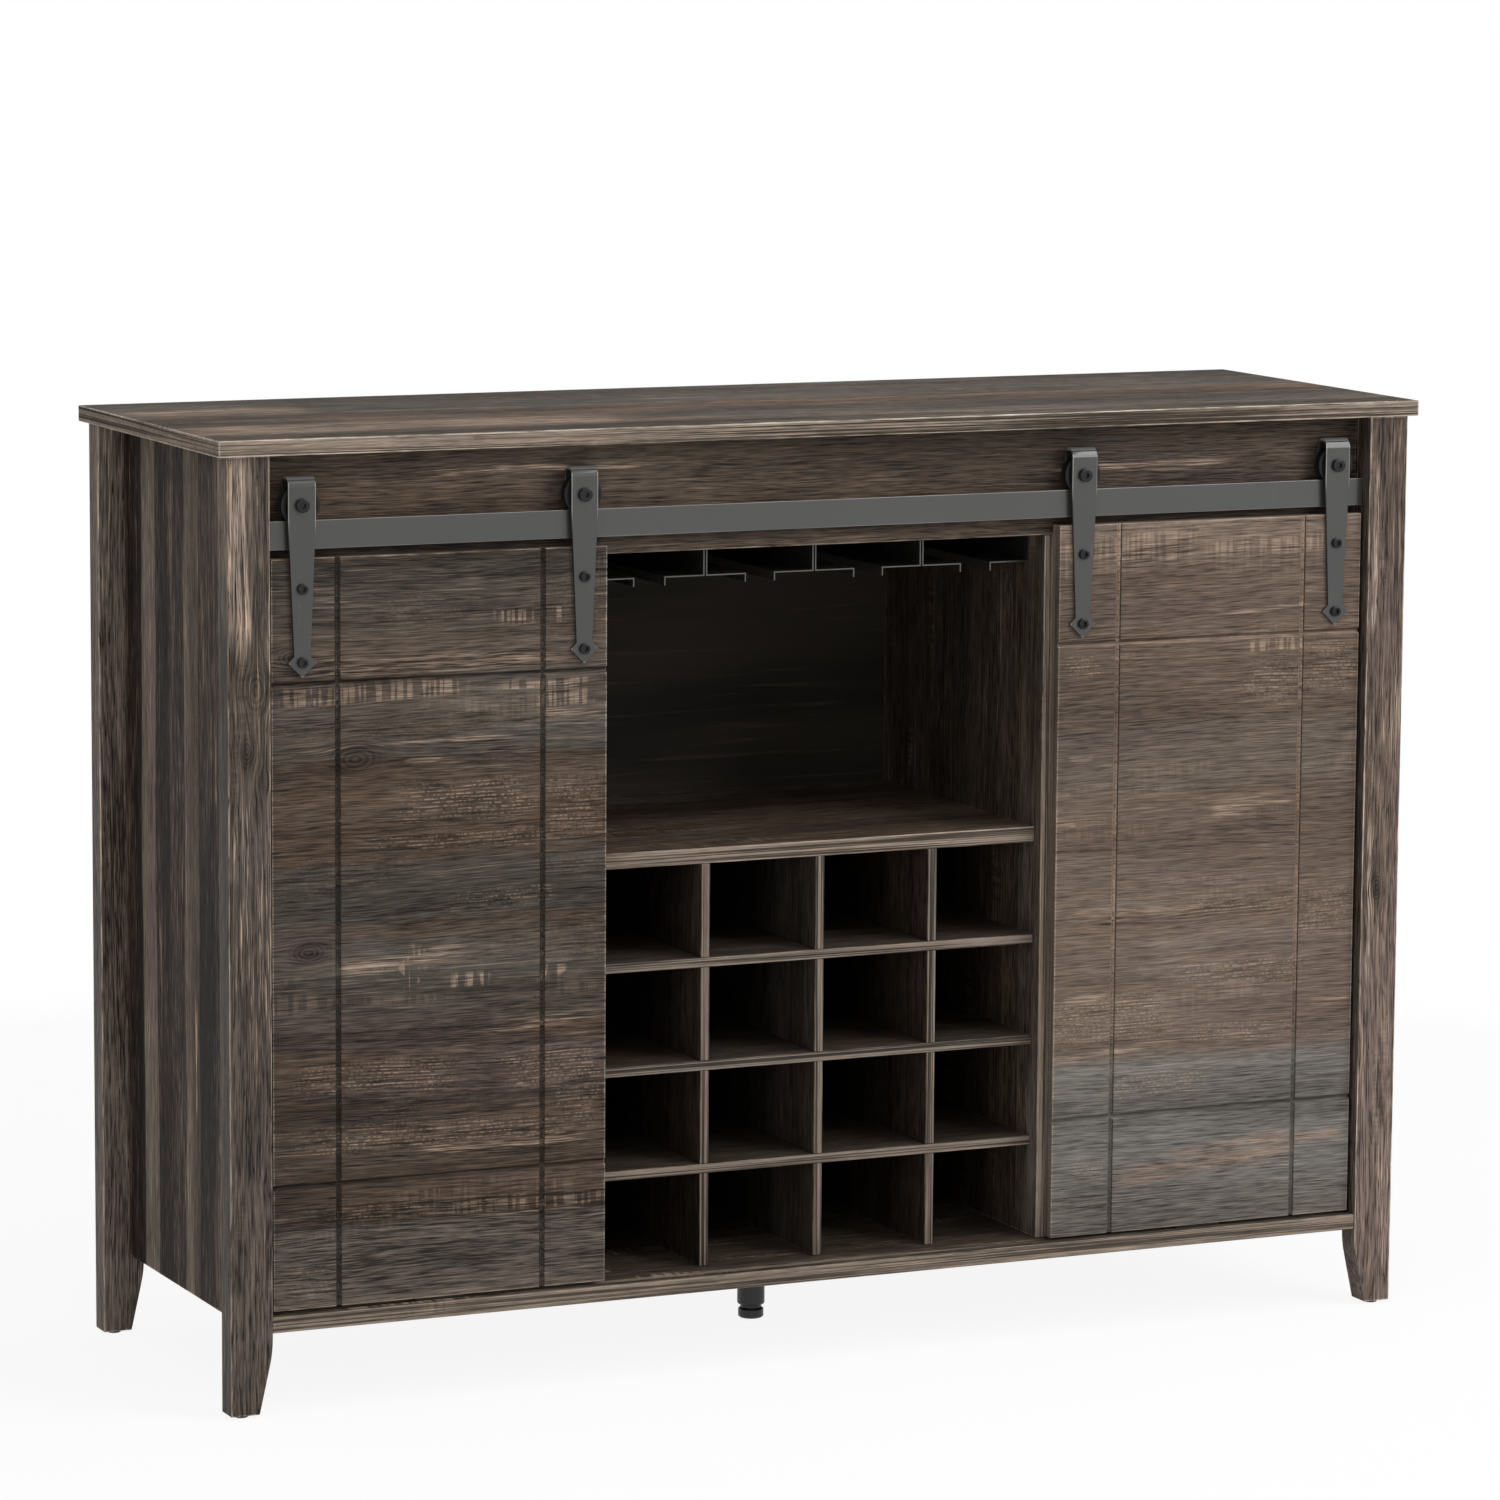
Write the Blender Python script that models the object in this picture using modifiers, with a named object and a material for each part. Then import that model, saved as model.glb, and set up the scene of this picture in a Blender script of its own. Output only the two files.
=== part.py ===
# Coffee bar cabinet: a low cabinet on four tapered posts, with two sliding doors
# hung on a flat steel track, a four by four bottle rack, a shelf and stemware rails.
# Metres, +Z up, front faces -Y. Origin: middle of the footprint, on the floor.
import math
import bmesh
import bpy
from mathutils import Matrix, Vector

for old in list(bpy.data.objects):
    bpy.data.objects.remove(old, do_unlink=True)

# Overall
OVERALL_HEIGHT = 0.900
BODY_WIDTH = 1.220          # over the outer faces of the posts
BODY_DEPTH = 0.386          # post front to post rear
TOP_OVERHANG_SIDE = 0.009
TOP_OVERHANG_FRONT = 0.005
TOP_OVERHANG_REAR = 0.004
BOARD = 0.015               # thickness of every main board
SEAT_GAP = 0.0003           # between pieces that touch

# Posts and their glides
POST_WIDTH = 0.041
POST_DEPTH = 0.025
FOOT_WIDTH = 0.028
TAPER_DROP = 0.005          # the taper starts this far below the bottom board
TAPER_BLEND = 0.024         # height of the soft start of the taper
BASE_HEIGHT = 0.078         # floor to the underside of the bottom board
GLIDE_RADIUS = 0.007
GLIDE_THICKNESS = 0.003
GLIDE_EDGE = 0.001
GLIDE_PIN_RADIUS = 0.002
GLIDE_PIN_LENGTH = 0.010

# Middle leg
LEG_RADIUS = 0.0135
LEG_PLATE_RADIUS = 0.025
LEG_PLATE_THICKNESS = 0.003
LEG_STEM_RADIUS = 0.0055
LEG_STEM_LENGTH = 0.030
LEG_COLLAR_RADIUS = 0.010
LEG_COLLAR_HEIGHT = 0.006
LEG_ADJUSTMENT = 0.003      # gap that shows between the leg and its glide
LEG_GLIDE_RADIUS = 0.0125
LEG_GLIDE_HEIGHT = 0.010
LEG_EDGE = 0.0015

# Doors
DOOR_LAP = 0.007            # door edge past the side of the middle bay
DOOR_THICKNESS = 0.015
DOOR_SETBACK = 0.009        # door front behind the post fronts
DOOR_POST_GAP = 0.004
DOOR_FLOOR_GAP = 0.003
DOOR_TRACK_GAP = 0.0075
DOOR_STILE = 0.064          # door edge to the upright groove
DOOR_RAIL = 0.115           # door edge to the level groove
GROOVE_WIDTH = 0.006
GROOVE_DEPTH = 0.003

# Track and rollers
TRACK_TOP_DROP = 0.0608     # underside of the top board to the top of the track
TRACK_HEIGHT = 0.0265
TRACK_THICKNESS = 0.004
TRACK_END_GAP = 0.001
SPACERS = 5
SPACER_INSET = 0.060        # side panel to the first spacer
SPACER_RADIUS = 0.006
TREAD_RADIUS = 0.0139
ROLLER_FLANGE = 0.0050      # flange height over the tread
FLANGE_LEAN = 0.0008
ROLLER_EDGE = 0.0006
ROLLER_WIDTH = 0.010
ROLLER_TRACK_GAP = 0.0006
ROLLER_SIDE_GAP = 0.001
AXLE_RADIUS = 0.004
AXLE_HEAD_RADIUS = 0.0065
AXLE_HEAD_HEIGHT = 0.0035
AXLE_TAIL_RADIUS = 0.0055
AXLE_TAIL_HEIGHT = 0.0012

# Hangers and bolts
STRAP_THICKNESS = 0.003
STRAP_WIDTH = 0.0265
STRAP_WAIST = 0.0156
STRAP_POINT = 0.0138        # lower bolt to each corner of the diamond end
STRAP_BLUNT = 0.0008        # how far those corners are cut back
STRAP_CROWN_GAP = 0.0042
STRAP_SHOULDER = 0.012      # full width runs this far below the axle
HANGER_INSET_OUTER = 0.029
HANGER_INSET_INNER = 0.024
UPPER_BOLT_DROP = 0.0759    # axle to the upper door bolt
LOWER_BOLT_DROP = 0.1429
BOLT_RADIUS = 0.003
BOLT_HEAD_RADIUS = 0.005
BOLT_HEAD_HEIGHT = 0.003
HEAD_EDGE = 0.0012          # slope round the rim of a head
BOLT_REACH = 0.012          # depth of the bolt in the door
SOCKET_RADIUS = 0.0028
SOCKET_DEPTH = 0.0020

# Floor guides
GUIDE_LENGTH = 0.050
GUIDE_WIDTH = 0.007
GUIDE_SUNK = 0.011          # depth in the door's lower edge
GUIDE_REACH = 0.004         # depth in the floor groove
GUIDE_SIDE_GAP = 0.0007
FLOOR_GROOVE_DEPTH = 0.006

# Carcass
CARCASS_GAP = 0.003         # door back to the partition fronts
BOTTOM_SETBACK = 0.001
HEADER_HEIGHT = 0.105
BAY_WIDTH = 0.456           # clear width of the middle bay
REAR_INSET = 0.0045         # back panels behind the post rears
BACK_THICKNESS = 0.004
SIDE_SHELF_HEIGHT = 0.345   # bottom board to the shelf behind a door
SIDE_SHELF_SETBACK = 0.020

# Bottle rack and middle shelf
RACK_COLUMNS = 4
RACK_ROWS = 4
RACK_BOARD = 0.009
RACK_PITCH = 0.119
RACK_HEIGHT = 0.388
RACK_SETBACK = 0.014        # rack and shelf fronts behind the partition fronts

# Stemware rails
RAIL_PITCH = 0.113
RAIL_WIDTH = 0.084
RAIL_SHEET = 0.0012
RAIL_WEB_GAP = 0.0016
RAIL_PLATE_WIDTH = 0.026
RAIL_DROP = 0.0275
RAIL_LIP = 0.0085
RAIL_SETBACK = 0.018        # rail fronts behind the header
RAIL_REAR_GAP = 0.015

# Facets of round pieces
FINE = 24
COARSE = 12

# Heights
top_under = OVERALL_HEIGHT - BOARD
base_top = BASE_HEIGHT + BOARD
post_bottom = GLIDE_THICKNESS + SEAT_GAP
taper_top = BASE_HEIGHT - TAPER_DROP
header_bottom = top_under - HEADER_HEIGHT
track_top = top_under - TRACK_TOP_DROP
track_bottom = track_top - TRACK_HEIGHT
axle_z = track_top + SEAT_GAP + TREAD_RADIUS
flange_radius = TREAD_RADIUS + ROLLER_FLANGE
strap_crown = axle_z + flange_radius + STRAP_CROWN_GAP      # inner top of the fold
door_top = track_bottom - DOOR_TRACK_GAP
door_bottom = base_top + DOOR_FLOOR_GAP
shelf_under = base_top + RACK_HEIGHT
rack_pitch_z = (RACK_HEIGHT + RACK_BOARD) / RACK_ROWS

# Depths, from front to back
y_front = -(BODY_DEPTH + TOP_OVERHANG_REAR - TOP_OVERHANG_FRONT) / 2
y_rear = y_front + BODY_DEPTH
door_front = y_front + DOOR_SETBACK
door_back = door_front + DOOR_THICKNESS
door_middle_y = (door_front + door_back) / 2
strap_back = door_front - SEAT_GAP
strap_front = strap_back - STRAP_THICKNESS
head_back = strap_front - SEAT_GAP
track_y = strap_back + ROLLER_SIDE_GAP + ROLLER_WIDTH / 2
track_back = track_y + TRACK_THICKNESS / 2
rear_leg_front = track_y + ROLLER_WIDTH / 2 + ROLLER_SIDE_GAP
rear_leg_back = rear_leg_front + STRAP_THICKNESS
carcass_front = door_back + CARCASS_GAP
header_back = carcass_front + BOARD
rack_front = carcass_front + RACK_SETBACK
back_outer = y_rear - REAR_INSET
back_inner = back_outer - BACK_THICKNESS
carcass_rear = back_inner - SEAT_GAP

# Widths, from the middle outwards
post_outer = BODY_WIDTH / 2
inner_x = post_outer - POST_WIDTH
bay_x = BAY_WIDTH / 2
partition_outer = bay_x + BOARD
door_outer = inner_x - DOOR_POST_GAP
door_inner = bay_x + DOOR_LAP
door_middle_x = (door_outer + door_inner) / 2
hanger_xs = {"outer": door_outer - HANGER_INSET_OUTER, "inner": door_inner + HANGER_INSET_INNER}
bolt_zs = {"upper": axle_z - UPPER_BOLT_DROP, "lower": axle_z - LOWER_BOLT_DROP}

SIDES = {"left": -1, "right": 1}
POST_YS = {"front": y_front + POST_DEPTH / 2, "rear": y_rear - POST_DEPTH / 2}

FINISHES = {
    "wood_top": ((0.085, 0.072, 0.060), 0.62, 0.0),
    "wood_post": ((0.120, 0.098, 0.080), 0.65, 0.0),
    "wood_side": ((0.036, 0.032, 0.029), 0.65, 0.0),
    "wood_door": ((0.105, 0.090, 0.078), 0.62, 0.0),
    "wood_inner": ((0.050, 0.044, 0.038), 0.65, 0.0),
    "back_board": ((0.030, 0.027, 0.024), 0.75, 0.0),
    "painted_steel": ((0.090, 0.090, 0.092), 0.45, 0.8),
    "black_steel": ((0.015, 0.015, 0.016), 0.40, 0.8),
    "black_plastic": ((0.012, 0.012, 0.012), 0.50, 0.0),
}

parts = bpy.data.collections.new("coffee_bar_cabinet")
cutters = bpy.data.collections.new("cutters")
bpy.context.scene.collection.children.link(parts)
bpy.context.scene.collection.children.link(cutters)

# Outlines are drawn in XY. These stand the drawing up, facing the front or the side.
FACING_FRONT = Matrix.Rotation(math.radians(90), 4, "X")
FACING_SIDE = Matrix.Rotation(math.radians(90), 4, "Z") @ FACING_FRONT
TOWARD_REAR = Matrix.Rotation(math.radians(-90), 4, "X")    # turns Z to +Y


def move_to(obj, collection):
    for home in list(obj.users_collection):
        home.objects.unlink(obj)
    collection.objects.link(obj)


def finished(obj, finish, smooth=False):
    """Puts a finished piece in the collection, with a material of its own."""
    move_to(obj, parts)
    colour, roughness, metallic = FINISHES[finish]
    made = bpy.data.materials.new(obj.name + "_finish")
    made.use_nodes = True
    shader = made.node_tree.nodes["Principled BSDF"]
    shader.inputs["Base Color"].default_value = (*colour, 1)
    shader.inputs["Roughness"].default_value = roughness
    shader.inputs["Metallic"].default_value = metallic
    obj.data.materials.clear()
    obj.data.materials.append(made)
    if smooth:
        obj.data.shade_smooth()
        obj.data.set_sharp_from_angle(angle=math.radians(35))
    return obj


def raw_box(name, low, high):
    """A box between two corners: a cube with its scale applied."""
    low, high = Vector(low), Vector(high)
    bpy.ops.mesh.primitive_cube_add(size=1, location=(low + high) / 2)
    obj = bpy.context.object
    obj.name = name
    obj.scale = high - low
    bpy.ops.object.transform_apply(location=False, rotation=False, scale=True)
    return obj


def board(name, low, high, finish):
    return finished(raw_box(name, low, high), finish)


def mirrored_span(side, near, far):
    """Left and right X of a span given by its distances from the middle."""
    return sorted((side * near, side * far))


def mesh_object(name, mesh, matrix=None):
    obj = bpy.data.objects.new(name, mesh)
    bpy.context.scene.collection.objects.link(obj)
    if matrix is not None:
        obj.matrix_world = matrix
    return obj


def settled_mesh(obj):
    """The object's mesh with its modifiers or curve caps, welded shut. Removes the object."""
    bpy.context.view_layer.update()
    graph = bpy.context.evaluated_depsgraph_get()
    mesh = bpy.data.meshes.new_from_object(obj.evaluated_get(graph), depsgraph=graph)
    work = bmesh.new()
    work.from_mesh(mesh)
    bmesh.ops.remove_doubles(work, verts=work.verts, dist=1e-6)
    bmesh.ops.recalc_face_normals(work, faces=work.faces)
    work.to_mesh(mesh)
    work.free()
    bpy.data.objects.remove(obj, do_unlink=True)
    return mesh


def outline_mesh(points, thickness, holes=()):
    """A flat outline in XY with its holes, extruded evenly both ways along Z."""
    data = bpy.data.curves.new("outline", "CURVE")
    data.dimensions = "2D"
    data.fill_mode = "BOTH"
    data.extrude = thickness / 2
    for loop in (points, *holes):
        spline = data.splines.new("POLY")
        spline.points.add(len(loop) - 1)
        for point, (x, y) in zip(spline.points, loop):
            point.co = (x, y, 0, 1)
        spline.use_cyclic_u = True
    return settled_mesh(mesh_object("outline", data))


def circle(radius, x, y, steps):
    turns = [2 * math.pi * step / steps for step in range(steps)]
    return [(x + radius * math.cos(a), y + radius * math.sin(a)) for a in turns]


def turned_mesh(profile, steps):
    """A solid turned about Z from (radius, height) points, down its outer side."""
    mesh = bpy.data.meshes.new("profile")
    points = [(radius, 0, height) for radius, height in profile]
    mesh.from_pydata(points, [(i, i + 1) for i in range(len(points) - 1)], [])
    obj = mesh_object("profile", mesh)
    screw = obj.modifiers.new("turn", "SCREW")
    screw.steps = steps
    screw.render_steps = steps
    screw.use_merge_vertices = True
    screw.merge_threshold = 1e-5
    return settled_mesh(obj)


def rod_mesh(radius, length, steps):
    """A rod along Z, from zero to its length."""
    work = bmesh.new()
    bmesh.ops.create_cone(work, cap_ends=True, segments=steps, radius1=radius, radius2=radius,
                          depth=length, matrix=Matrix.Translation((0, 0, length / 2)))
    mesh = bpy.data.meshes.new("rod")
    work.to_mesh(mesh)
    work.free()
    return mesh


def at(x, y, z, turn=None):
    place = Matrix.Translation((x, y, z))
    return place if turn is None else place @ turn


def boolean(obj, tool, operation="DIFFERENCE"):
    move_to(tool, cutters)
    tool.hide_render = True
    tool.display_type = "WIRE"
    modifier = obj.modifiers.new(tool.name, "BOOLEAN")
    modifier.operation = operation
    modifier.solver = "EXACT"
    modifier.object = tool


def hold(empty_name, location, objects):
    """Parents pieces to a new empty without moving them."""
    empty = bpy.data.objects.new(empty_name, None)
    empty.empty_display_size = 0.05
    parts.objects.link(empty)
    empty.location = location
    bpy.context.view_layer.update()
    for obj in objects:
        obj.parent = empty
        obj.matrix_parent_inverse = empty.matrix_world.inverted()


def spread(count):
    """Evenly spaced steps about zero, such as -1, 0 and 1."""
    return [step - (count - 1) / 2 for step in range(count)]


def post_outline(side):
    """Front view of a post: straight outside, drawn in on the inner side to the foot."""
    outer, inner = side * post_outer, side * inner_x
    foot = side * (post_outer - FOOT_WIDTH)
    slope = (inner - foot) / (taper_top - TAPER_BLEND / 2 - post_bottom)
    points = [(outer, post_bottom), (outer, top_under - SEAT_GAP), (inner, top_under - SEAT_GAP)]
    for step in range(5):
        share = step / 4
        drawn_in = slope * TAPER_BLEND * share * share / 2
        points.append((inner - drawn_in, taper_top - TAPER_BLEND * share))
    return points + [(foot, post_bottom)]


def make_posts():
    pin_hole = rod_mesh(GLIDE_PIN_RADIUS + SEAT_GAP, 2 * GLIDE_PIN_LENGTH, COARSE)
    hole_bottom = post_bottom - GLIDE_PIN_LENGTH + SEAT_GAP
    edge = GLIDE_EDGE
    pin_top = post_bottom + GLIDE_PIN_LENGTH
    glide = turned_mesh([(0, pin_top), (GLIDE_PIN_RADIUS, pin_top),
                         (GLIDE_PIN_RADIUS, GLIDE_THICKNESS), (GLIDE_RADIUS, GLIDE_THICKNESS),
                         (GLIDE_RADIUS, edge), (GLIDE_RADIUS - edge, 0), (0, 0)], COARSE)
    for side_name, side in SIDES.items():
        for row, y in POST_YS.items():
            name = f"{row}_{side_name}"
            mesh = outline_mesh(post_outline(side), POST_DEPTH)
            post = finished(mesh_object(f"{name}_post", mesh, at(0, y, 0, FACING_FRONT)), "wood_post")
            x = side * (post_outer - FOOT_WIDTH / 2)
            boolean(post, mesh_object(f"{name}_pin_hole", pin_hole, at(x, y, hole_bottom)))
            foot = mesh_object(f"{name}_glide", glide.copy(), at(x, y, 0))
            finished(foot, "black_plastic", smooth=True)


def make_carcass():
    board("top_board",
          (-post_outer - TOP_OVERHANG_SIDE, y_front - TOP_OVERHANG_FRONT, top_under),
          (post_outer + TOP_OVERHANG_SIDE, y_rear + TOP_OVERHANG_REAR, OVERALL_HEIGHT), "wood_top")
    for name, side in SIDES.items():
        low_x, high_x = mirrored_span(side, inner_x, inner_x + BOARD)
        board(f"{name}_side_panel", (low_x, y_front + POST_DEPTH + SEAT_GAP, BASE_HEIGHT),
              (high_x, y_rear - POST_DEPTH - SEAT_GAP, top_under - SEAT_GAP), "wood_side")
    reach = inner_x - SEAT_GAP
    bottom = board("bottom_board", (-reach, y_front + BOTTOM_SETBACK, BASE_HEIGHT),
                   (reach, carcass_rear, base_top), "wood_top")
    half = GUIDE_WIDTH / 2 + GUIDE_SIDE_GAP
    boolean(bottom, raw_box("floor_groove",
                            (-post_outer, door_middle_y - half, base_top - FLOOR_GROOVE_DEPTH),
                            (post_outer, door_middle_y + half, base_top + BOARD)))
    board("header_rail", (-reach, carcass_front, header_bottom),
          (reach, header_back, top_under - SEAT_GAP), "wood_inner")


def make_back_panels():
    seam = bay_x + BOARD / 2
    for name, low_x, high_x in (("left", -inner_x, -seam), ("center", -seam, seam),
                                ("right", seam, inner_x)):
        board(f"back_panel_{name}", (low_x + SEAT_GAP, back_inner, BASE_HEIGHT),
              (high_x - SEAT_GAP, back_outer, top_under - SEAT_GAP), "back_board")


def make_partitions():
    """Uprights beside the middle bay, notched at the top for the header."""
    for name, side in SIDES.items():
        low_x, high_x = mirrored_span(side, bay_x, partition_outer)
        partition = board(f"{name}_partition", (low_x, carcass_front, base_top + SEAT_GAP),
                          (high_x, carcass_rear, top_under - SEAT_GAP), "wood_inner")
        boolean(partition, raw_box(f"{name}_partition_notch",
                                   (low_x - BOARD, carcass_front - BOARD, header_bottom - SEAT_GAP),
                                   (high_x + BOARD, header_back + SEAT_GAP, OVERALL_HEIGHT)))


def make_shelves():
    reach = bay_x - SEAT_GAP
    board("glass_panel", (-reach, header_back + SEAT_GAP, header_bottom),
          (reach, carcass_rear, header_bottom + BOARD), "wood_inner")
    board("center_shelf", (-reach, rack_front, shelf_under),
          (reach, carcass_rear, shelf_under + BOARD), "wood_inner")
    side_z = base_top + SIDE_SHELF_HEIGHT
    for name, side in SIDES.items():
        low_x, high_x = mirrored_span(side, partition_outer + SEAT_GAP, inner_x - SEAT_GAP)
        board(f"{name}_side_shelf", (low_x, carcass_front + SIDE_SHELF_SETBACK, side_z),
              (high_x, carcass_rear, side_z + BOARD), "wood_inner")


def make_rack():
    """A rack of half-lapped boards: uprights slotted in front, levels slotted behind."""
    half = RACK_BOARD / 2
    slot = half + SEAT_GAP
    lap_front = (rack_front + carcass_rear - SEAT_GAP) / 2
    lap_back = lap_front + SEAT_GAP
    xs = [column * RACK_PITCH for column in spread(RACK_COLUMNS - 1)]
    zs = [base_top - half + rack_pitch_z * row for row in range(1, RACK_ROWS)]
    for number, x in enumerate(xs, 1):
        upright = board(f"rack_upright_{number}", (x - half, rack_front, base_top + SEAT_GAP),
                        (x + half, carcass_rear, shelf_under - SEAT_GAP), "wood_inner")
        for row, z in enumerate(zs, 1):
            boolean(upright, raw_box(f"upright_slot_{number}_{row}",
                                     (x - RACK_BOARD, rack_front - BOARD, z - slot),
                                     (x + RACK_BOARD, lap_back, z + slot)))
    for number, z in enumerate(zs, 1):
        level = board(f"rack_shelf_{number}", (SEAT_GAP - bay_x, rack_front, z - half),
                      (bay_x - SEAT_GAP, carcass_rear, z + half), "wood_inner")
        for column, x in enumerate(xs, 1):
            boolean(level, raw_box(f"shelf_slot_{number}_{column}",
                                   (x - slot, lap_front, z - RACK_BOARD),
                                   (x + slot, carcass_rear + BOARD, z + RACK_BOARD)))


def double_rail_outline():
    """Two folded strips back to back under one plate: a tee with turned-down lips."""
    sheet, gap = RAIL_SHEET, RAIL_WEB_GAP / 2
    half, plate = RAIL_WIDTH / 2, RAIL_PLATE_WIDTH / 2
    top = header_bottom - SEAT_GAP
    flange = header_bottom - RAIL_DROP
    lip = flange - RAIL_LIP
    side = [(gap, top - sheet), (gap, flange - sheet), (half - sheet, flange - sheet),
            (half - sheet, lip), (half, lip), (half, flange), (gap + sheet, flange),
            (gap + sheet, top - sheet), (plate, top - sheet), (plate, top)]
    return side + [(-x, z) for x, z in reversed(side)]


def single_rail_outline(side):
    """One folded strip against a partition, with its flange towards the middle."""
    sheet = RAIL_SHEET
    web = bay_x - SEAT_GAP
    end = web - RAIL_WIDTH / 2
    top = header_bottom - SEAT_GAP
    flange = header_bottom - RAIL_DROP
    lip = flange - RAIL_LIP
    points = [(web, top), (web - sheet, top), (web - sheet, flange), (end, flange), (end, lip),
              (end + sheet, lip), (end + sheet, flange - sheet), (web, flange - sheet)]
    return [(side * x, z) for x, z in points]


def make_stem_rails():
    front = header_back + RAIL_SETBACK
    rear = carcass_rear - RAIL_REAR_GAP
    rails = [(f"stem_rail_{number}", column * RAIL_PITCH, double_rail_outline())
             for number, column in enumerate(spread(RACK_COLUMNS - 1), 1)]
    rails += [(f"stem_rail_{name}", 0, single_rail_outline(side)) for name, side in SIDES.items()]
    for name, x, outline in rails:
        mesh = outline_mesh(outline, rear - front)
        rail = mesh_object(name, mesh, at(x, (front + rear) / 2, 0, FACING_FRONT))
        finished(rail, "painted_steel")


def make_track():
    """A flat bar on edge, with short round spacers behind it that seat on the header."""
    reach = inner_x - TRACK_END_GAP
    bar = board("track_bar", (-reach, track_y - TRACK_THICKNESS / 2, track_bottom),
                (reach, track_back, track_top), "painted_steel")
    spacer = rod_mesh(SPACER_RADIUS, carcass_front - SEAT_GAP - track_y, COARSE)
    step = 2 * (inner_x - SPACER_INSET) / (SPACERS - 1)
    middle = (track_top + track_bottom) / 2
    for number, place in enumerate(spread(SPACERS), 1):
        boolean(bar, mesh_object(f"track_spacer_{number}", spacer,
                                 at(place * step, track_y, middle, TOWARD_REAR)), "UNION")


def make_center_leg():
    top = BASE_HEIGHT - SEAT_GAP
    seat = top - LEG_PLATE_THICKNESS
    mouth = LEG_GLIDE_HEIGHT + LEG_ADJUSTMENT
    collar_top = LEG_GLIDE_HEIGHT + LEG_COLLAR_HEIGHT
    stem_top = collar_top + LEG_STEM_LENGTH
    collar = LEG_COLLAR_RADIUS + SEAT_GAP
    bore = LEG_STEM_RADIUS + SEAT_GAP
    counterbore = collar_top + LEG_ADJUSTMENT
    bore_top = stem_top + LEG_ADJUSTMENT
    leg = [(0, top), (LEG_PLATE_RADIUS, top), (LEG_PLATE_RADIUS, seat), (LEG_RADIUS, seat),
           (LEG_RADIUS, mouth + LEG_EDGE), (LEG_RADIUS - LEG_EDGE, mouth), (collar, mouth),
           (collar, counterbore), (bore, counterbore), (bore, bore_top), (0, bore_top)]
    finished(mesh_object("center_leg", turned_mesh(leg, FINE)), "black_plastic", smooth=True)
    rim = LEG_GLIDE_RADIUS - LEG_EDGE
    glide = [(0, stem_top), (LEG_STEM_RADIUS, stem_top), (LEG_STEM_RADIUS, collar_top),
             (LEG_COLLAR_RADIUS, collar_top), (LEG_COLLAR_RADIUS, LEG_GLIDE_HEIGHT),
             (rim, LEG_GLIDE_HEIGHT), (LEG_GLIDE_RADIUS, LEG_GLIDE_HEIGHT - LEG_EDGE),
             (LEG_GLIDE_RADIUS, LEG_EDGE), (rim, 0), (0, 0)]
    finished(mesh_object("center_glide", turned_mesh(glide, FINE)), "black_plastic", smooth=True)


def make_door_panel(name, side):
    """A plain door with four shallow grooves that make it look framed."""
    low_x, high_x = mirrored_span(side, door_inner, door_outer)
    panel = board(f"{name}_door_panel", (low_x, door_front, door_bottom),
                  (high_x, door_back, door_top), "wood_door")
    middle_x, middle_z = side * door_middle_x, (door_bottom + door_top) / 2
    upright = [at(x, door_front, middle_z) for x in (low_x + DOOR_STILE, high_x - DOOR_STILE)]
    level_turn = Matrix.Rotation(math.radians(90), 4, "Y")
    level = [at(middle_x, door_front, z, level_turn)
             for z in (door_bottom + DOOR_RAIL, door_top - DOOR_RAIL)]
    vee = [(-GROOVE_WIDTH, -GROOVE_DEPTH), (GROOVE_WIDTH, -GROOVE_DEPTH), (0, GROOVE_DEPTH)]
    for run, places, length in (("upright", upright, door_top - door_bottom + BOARD),
                                ("level", level, high_x - low_x + BOARD)):
        cut = outline_mesh(vee, length)
        for number, place in enumerate(places, 1):
            boolean(panel, mesh_object(f"{name}_{run}_groove_{number}", cut, place))
    return panel


def hanger_side_outline():
    """Side view of a hanger, as (Y, Z): a strap folded back over its roller."""
    inner = (rear_leg_front - strap_back) / 2
    outer = inner + STRAP_THICKNESS
    middle, centre = strap_back + inner, strap_crown - inner
    low = bolt_zs["lower"] - STRAP_POINT * 2
    rear_low = axle_z - STRAP_SHOULDER
    turns = [math.pi * step / 10 for step in range(11)]
    over = [(middle - outer * math.cos(a), centre + outer * math.sin(a)) for a in turns]
    under = [(middle + inner * math.cos(a), centre + inner * math.sin(a)) for a in turns]
    return ([(strap_front, low)] + over + [(rear_leg_back, rear_low), (rear_leg_front, rear_low)]
            + under + [(strap_back, low)])


def hanger_front_outline():
    """Front view of a hanger, as (X, Z): square shoulders, a long taper and a diamond end."""
    shoulder, end = axle_z - STRAP_SHOULDER, bolt_zs["lower"]
    top = strap_crown + STRAP_THICKNESS * 2
    half, waist = STRAP_WIDTH / 2, STRAP_WAIST / 2
    tip = STRAP_POINT - STRAP_BLUNT
    right = [(waist, end + STRAP_POINT - waist), (tip, end + STRAP_BLUNT),
             (tip, end - STRAP_BLUNT), (STRAP_BLUNT, end - tip)]
    left = [(-x, z) for x, z in reversed(right)]
    return [(-half, shoulder), (-half, top), (half, top), (half, shoulder)] + right + left


def make_hanger(name, x):
    strap = mesh_object(name, outline_mesh(hanger_side_outline(), 2 * STRAP_WIDTH),
                        at(x, 0, 0, FACING_SIDE))
    finished(strap, "painted_steel", smooth=True)
    holes = [circle(AXLE_RADIUS + SEAT_GAP, 0, axle_z, COARSE)]
    holes += [circle(BOLT_RADIUS + SEAT_GAP, 0, z, COARSE) for z in bolt_zs.values()]
    depth = rear_leg_back - strap_front + BOARD
    shape = outline_mesh(hanger_front_outline(), 2 * depth, holes)
    boolean(strap, mesh_object(name + "_shape", shape, at(x, strap_front, 0, FACING_FRONT)),
            "INTERSECT")
    return strap


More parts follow.
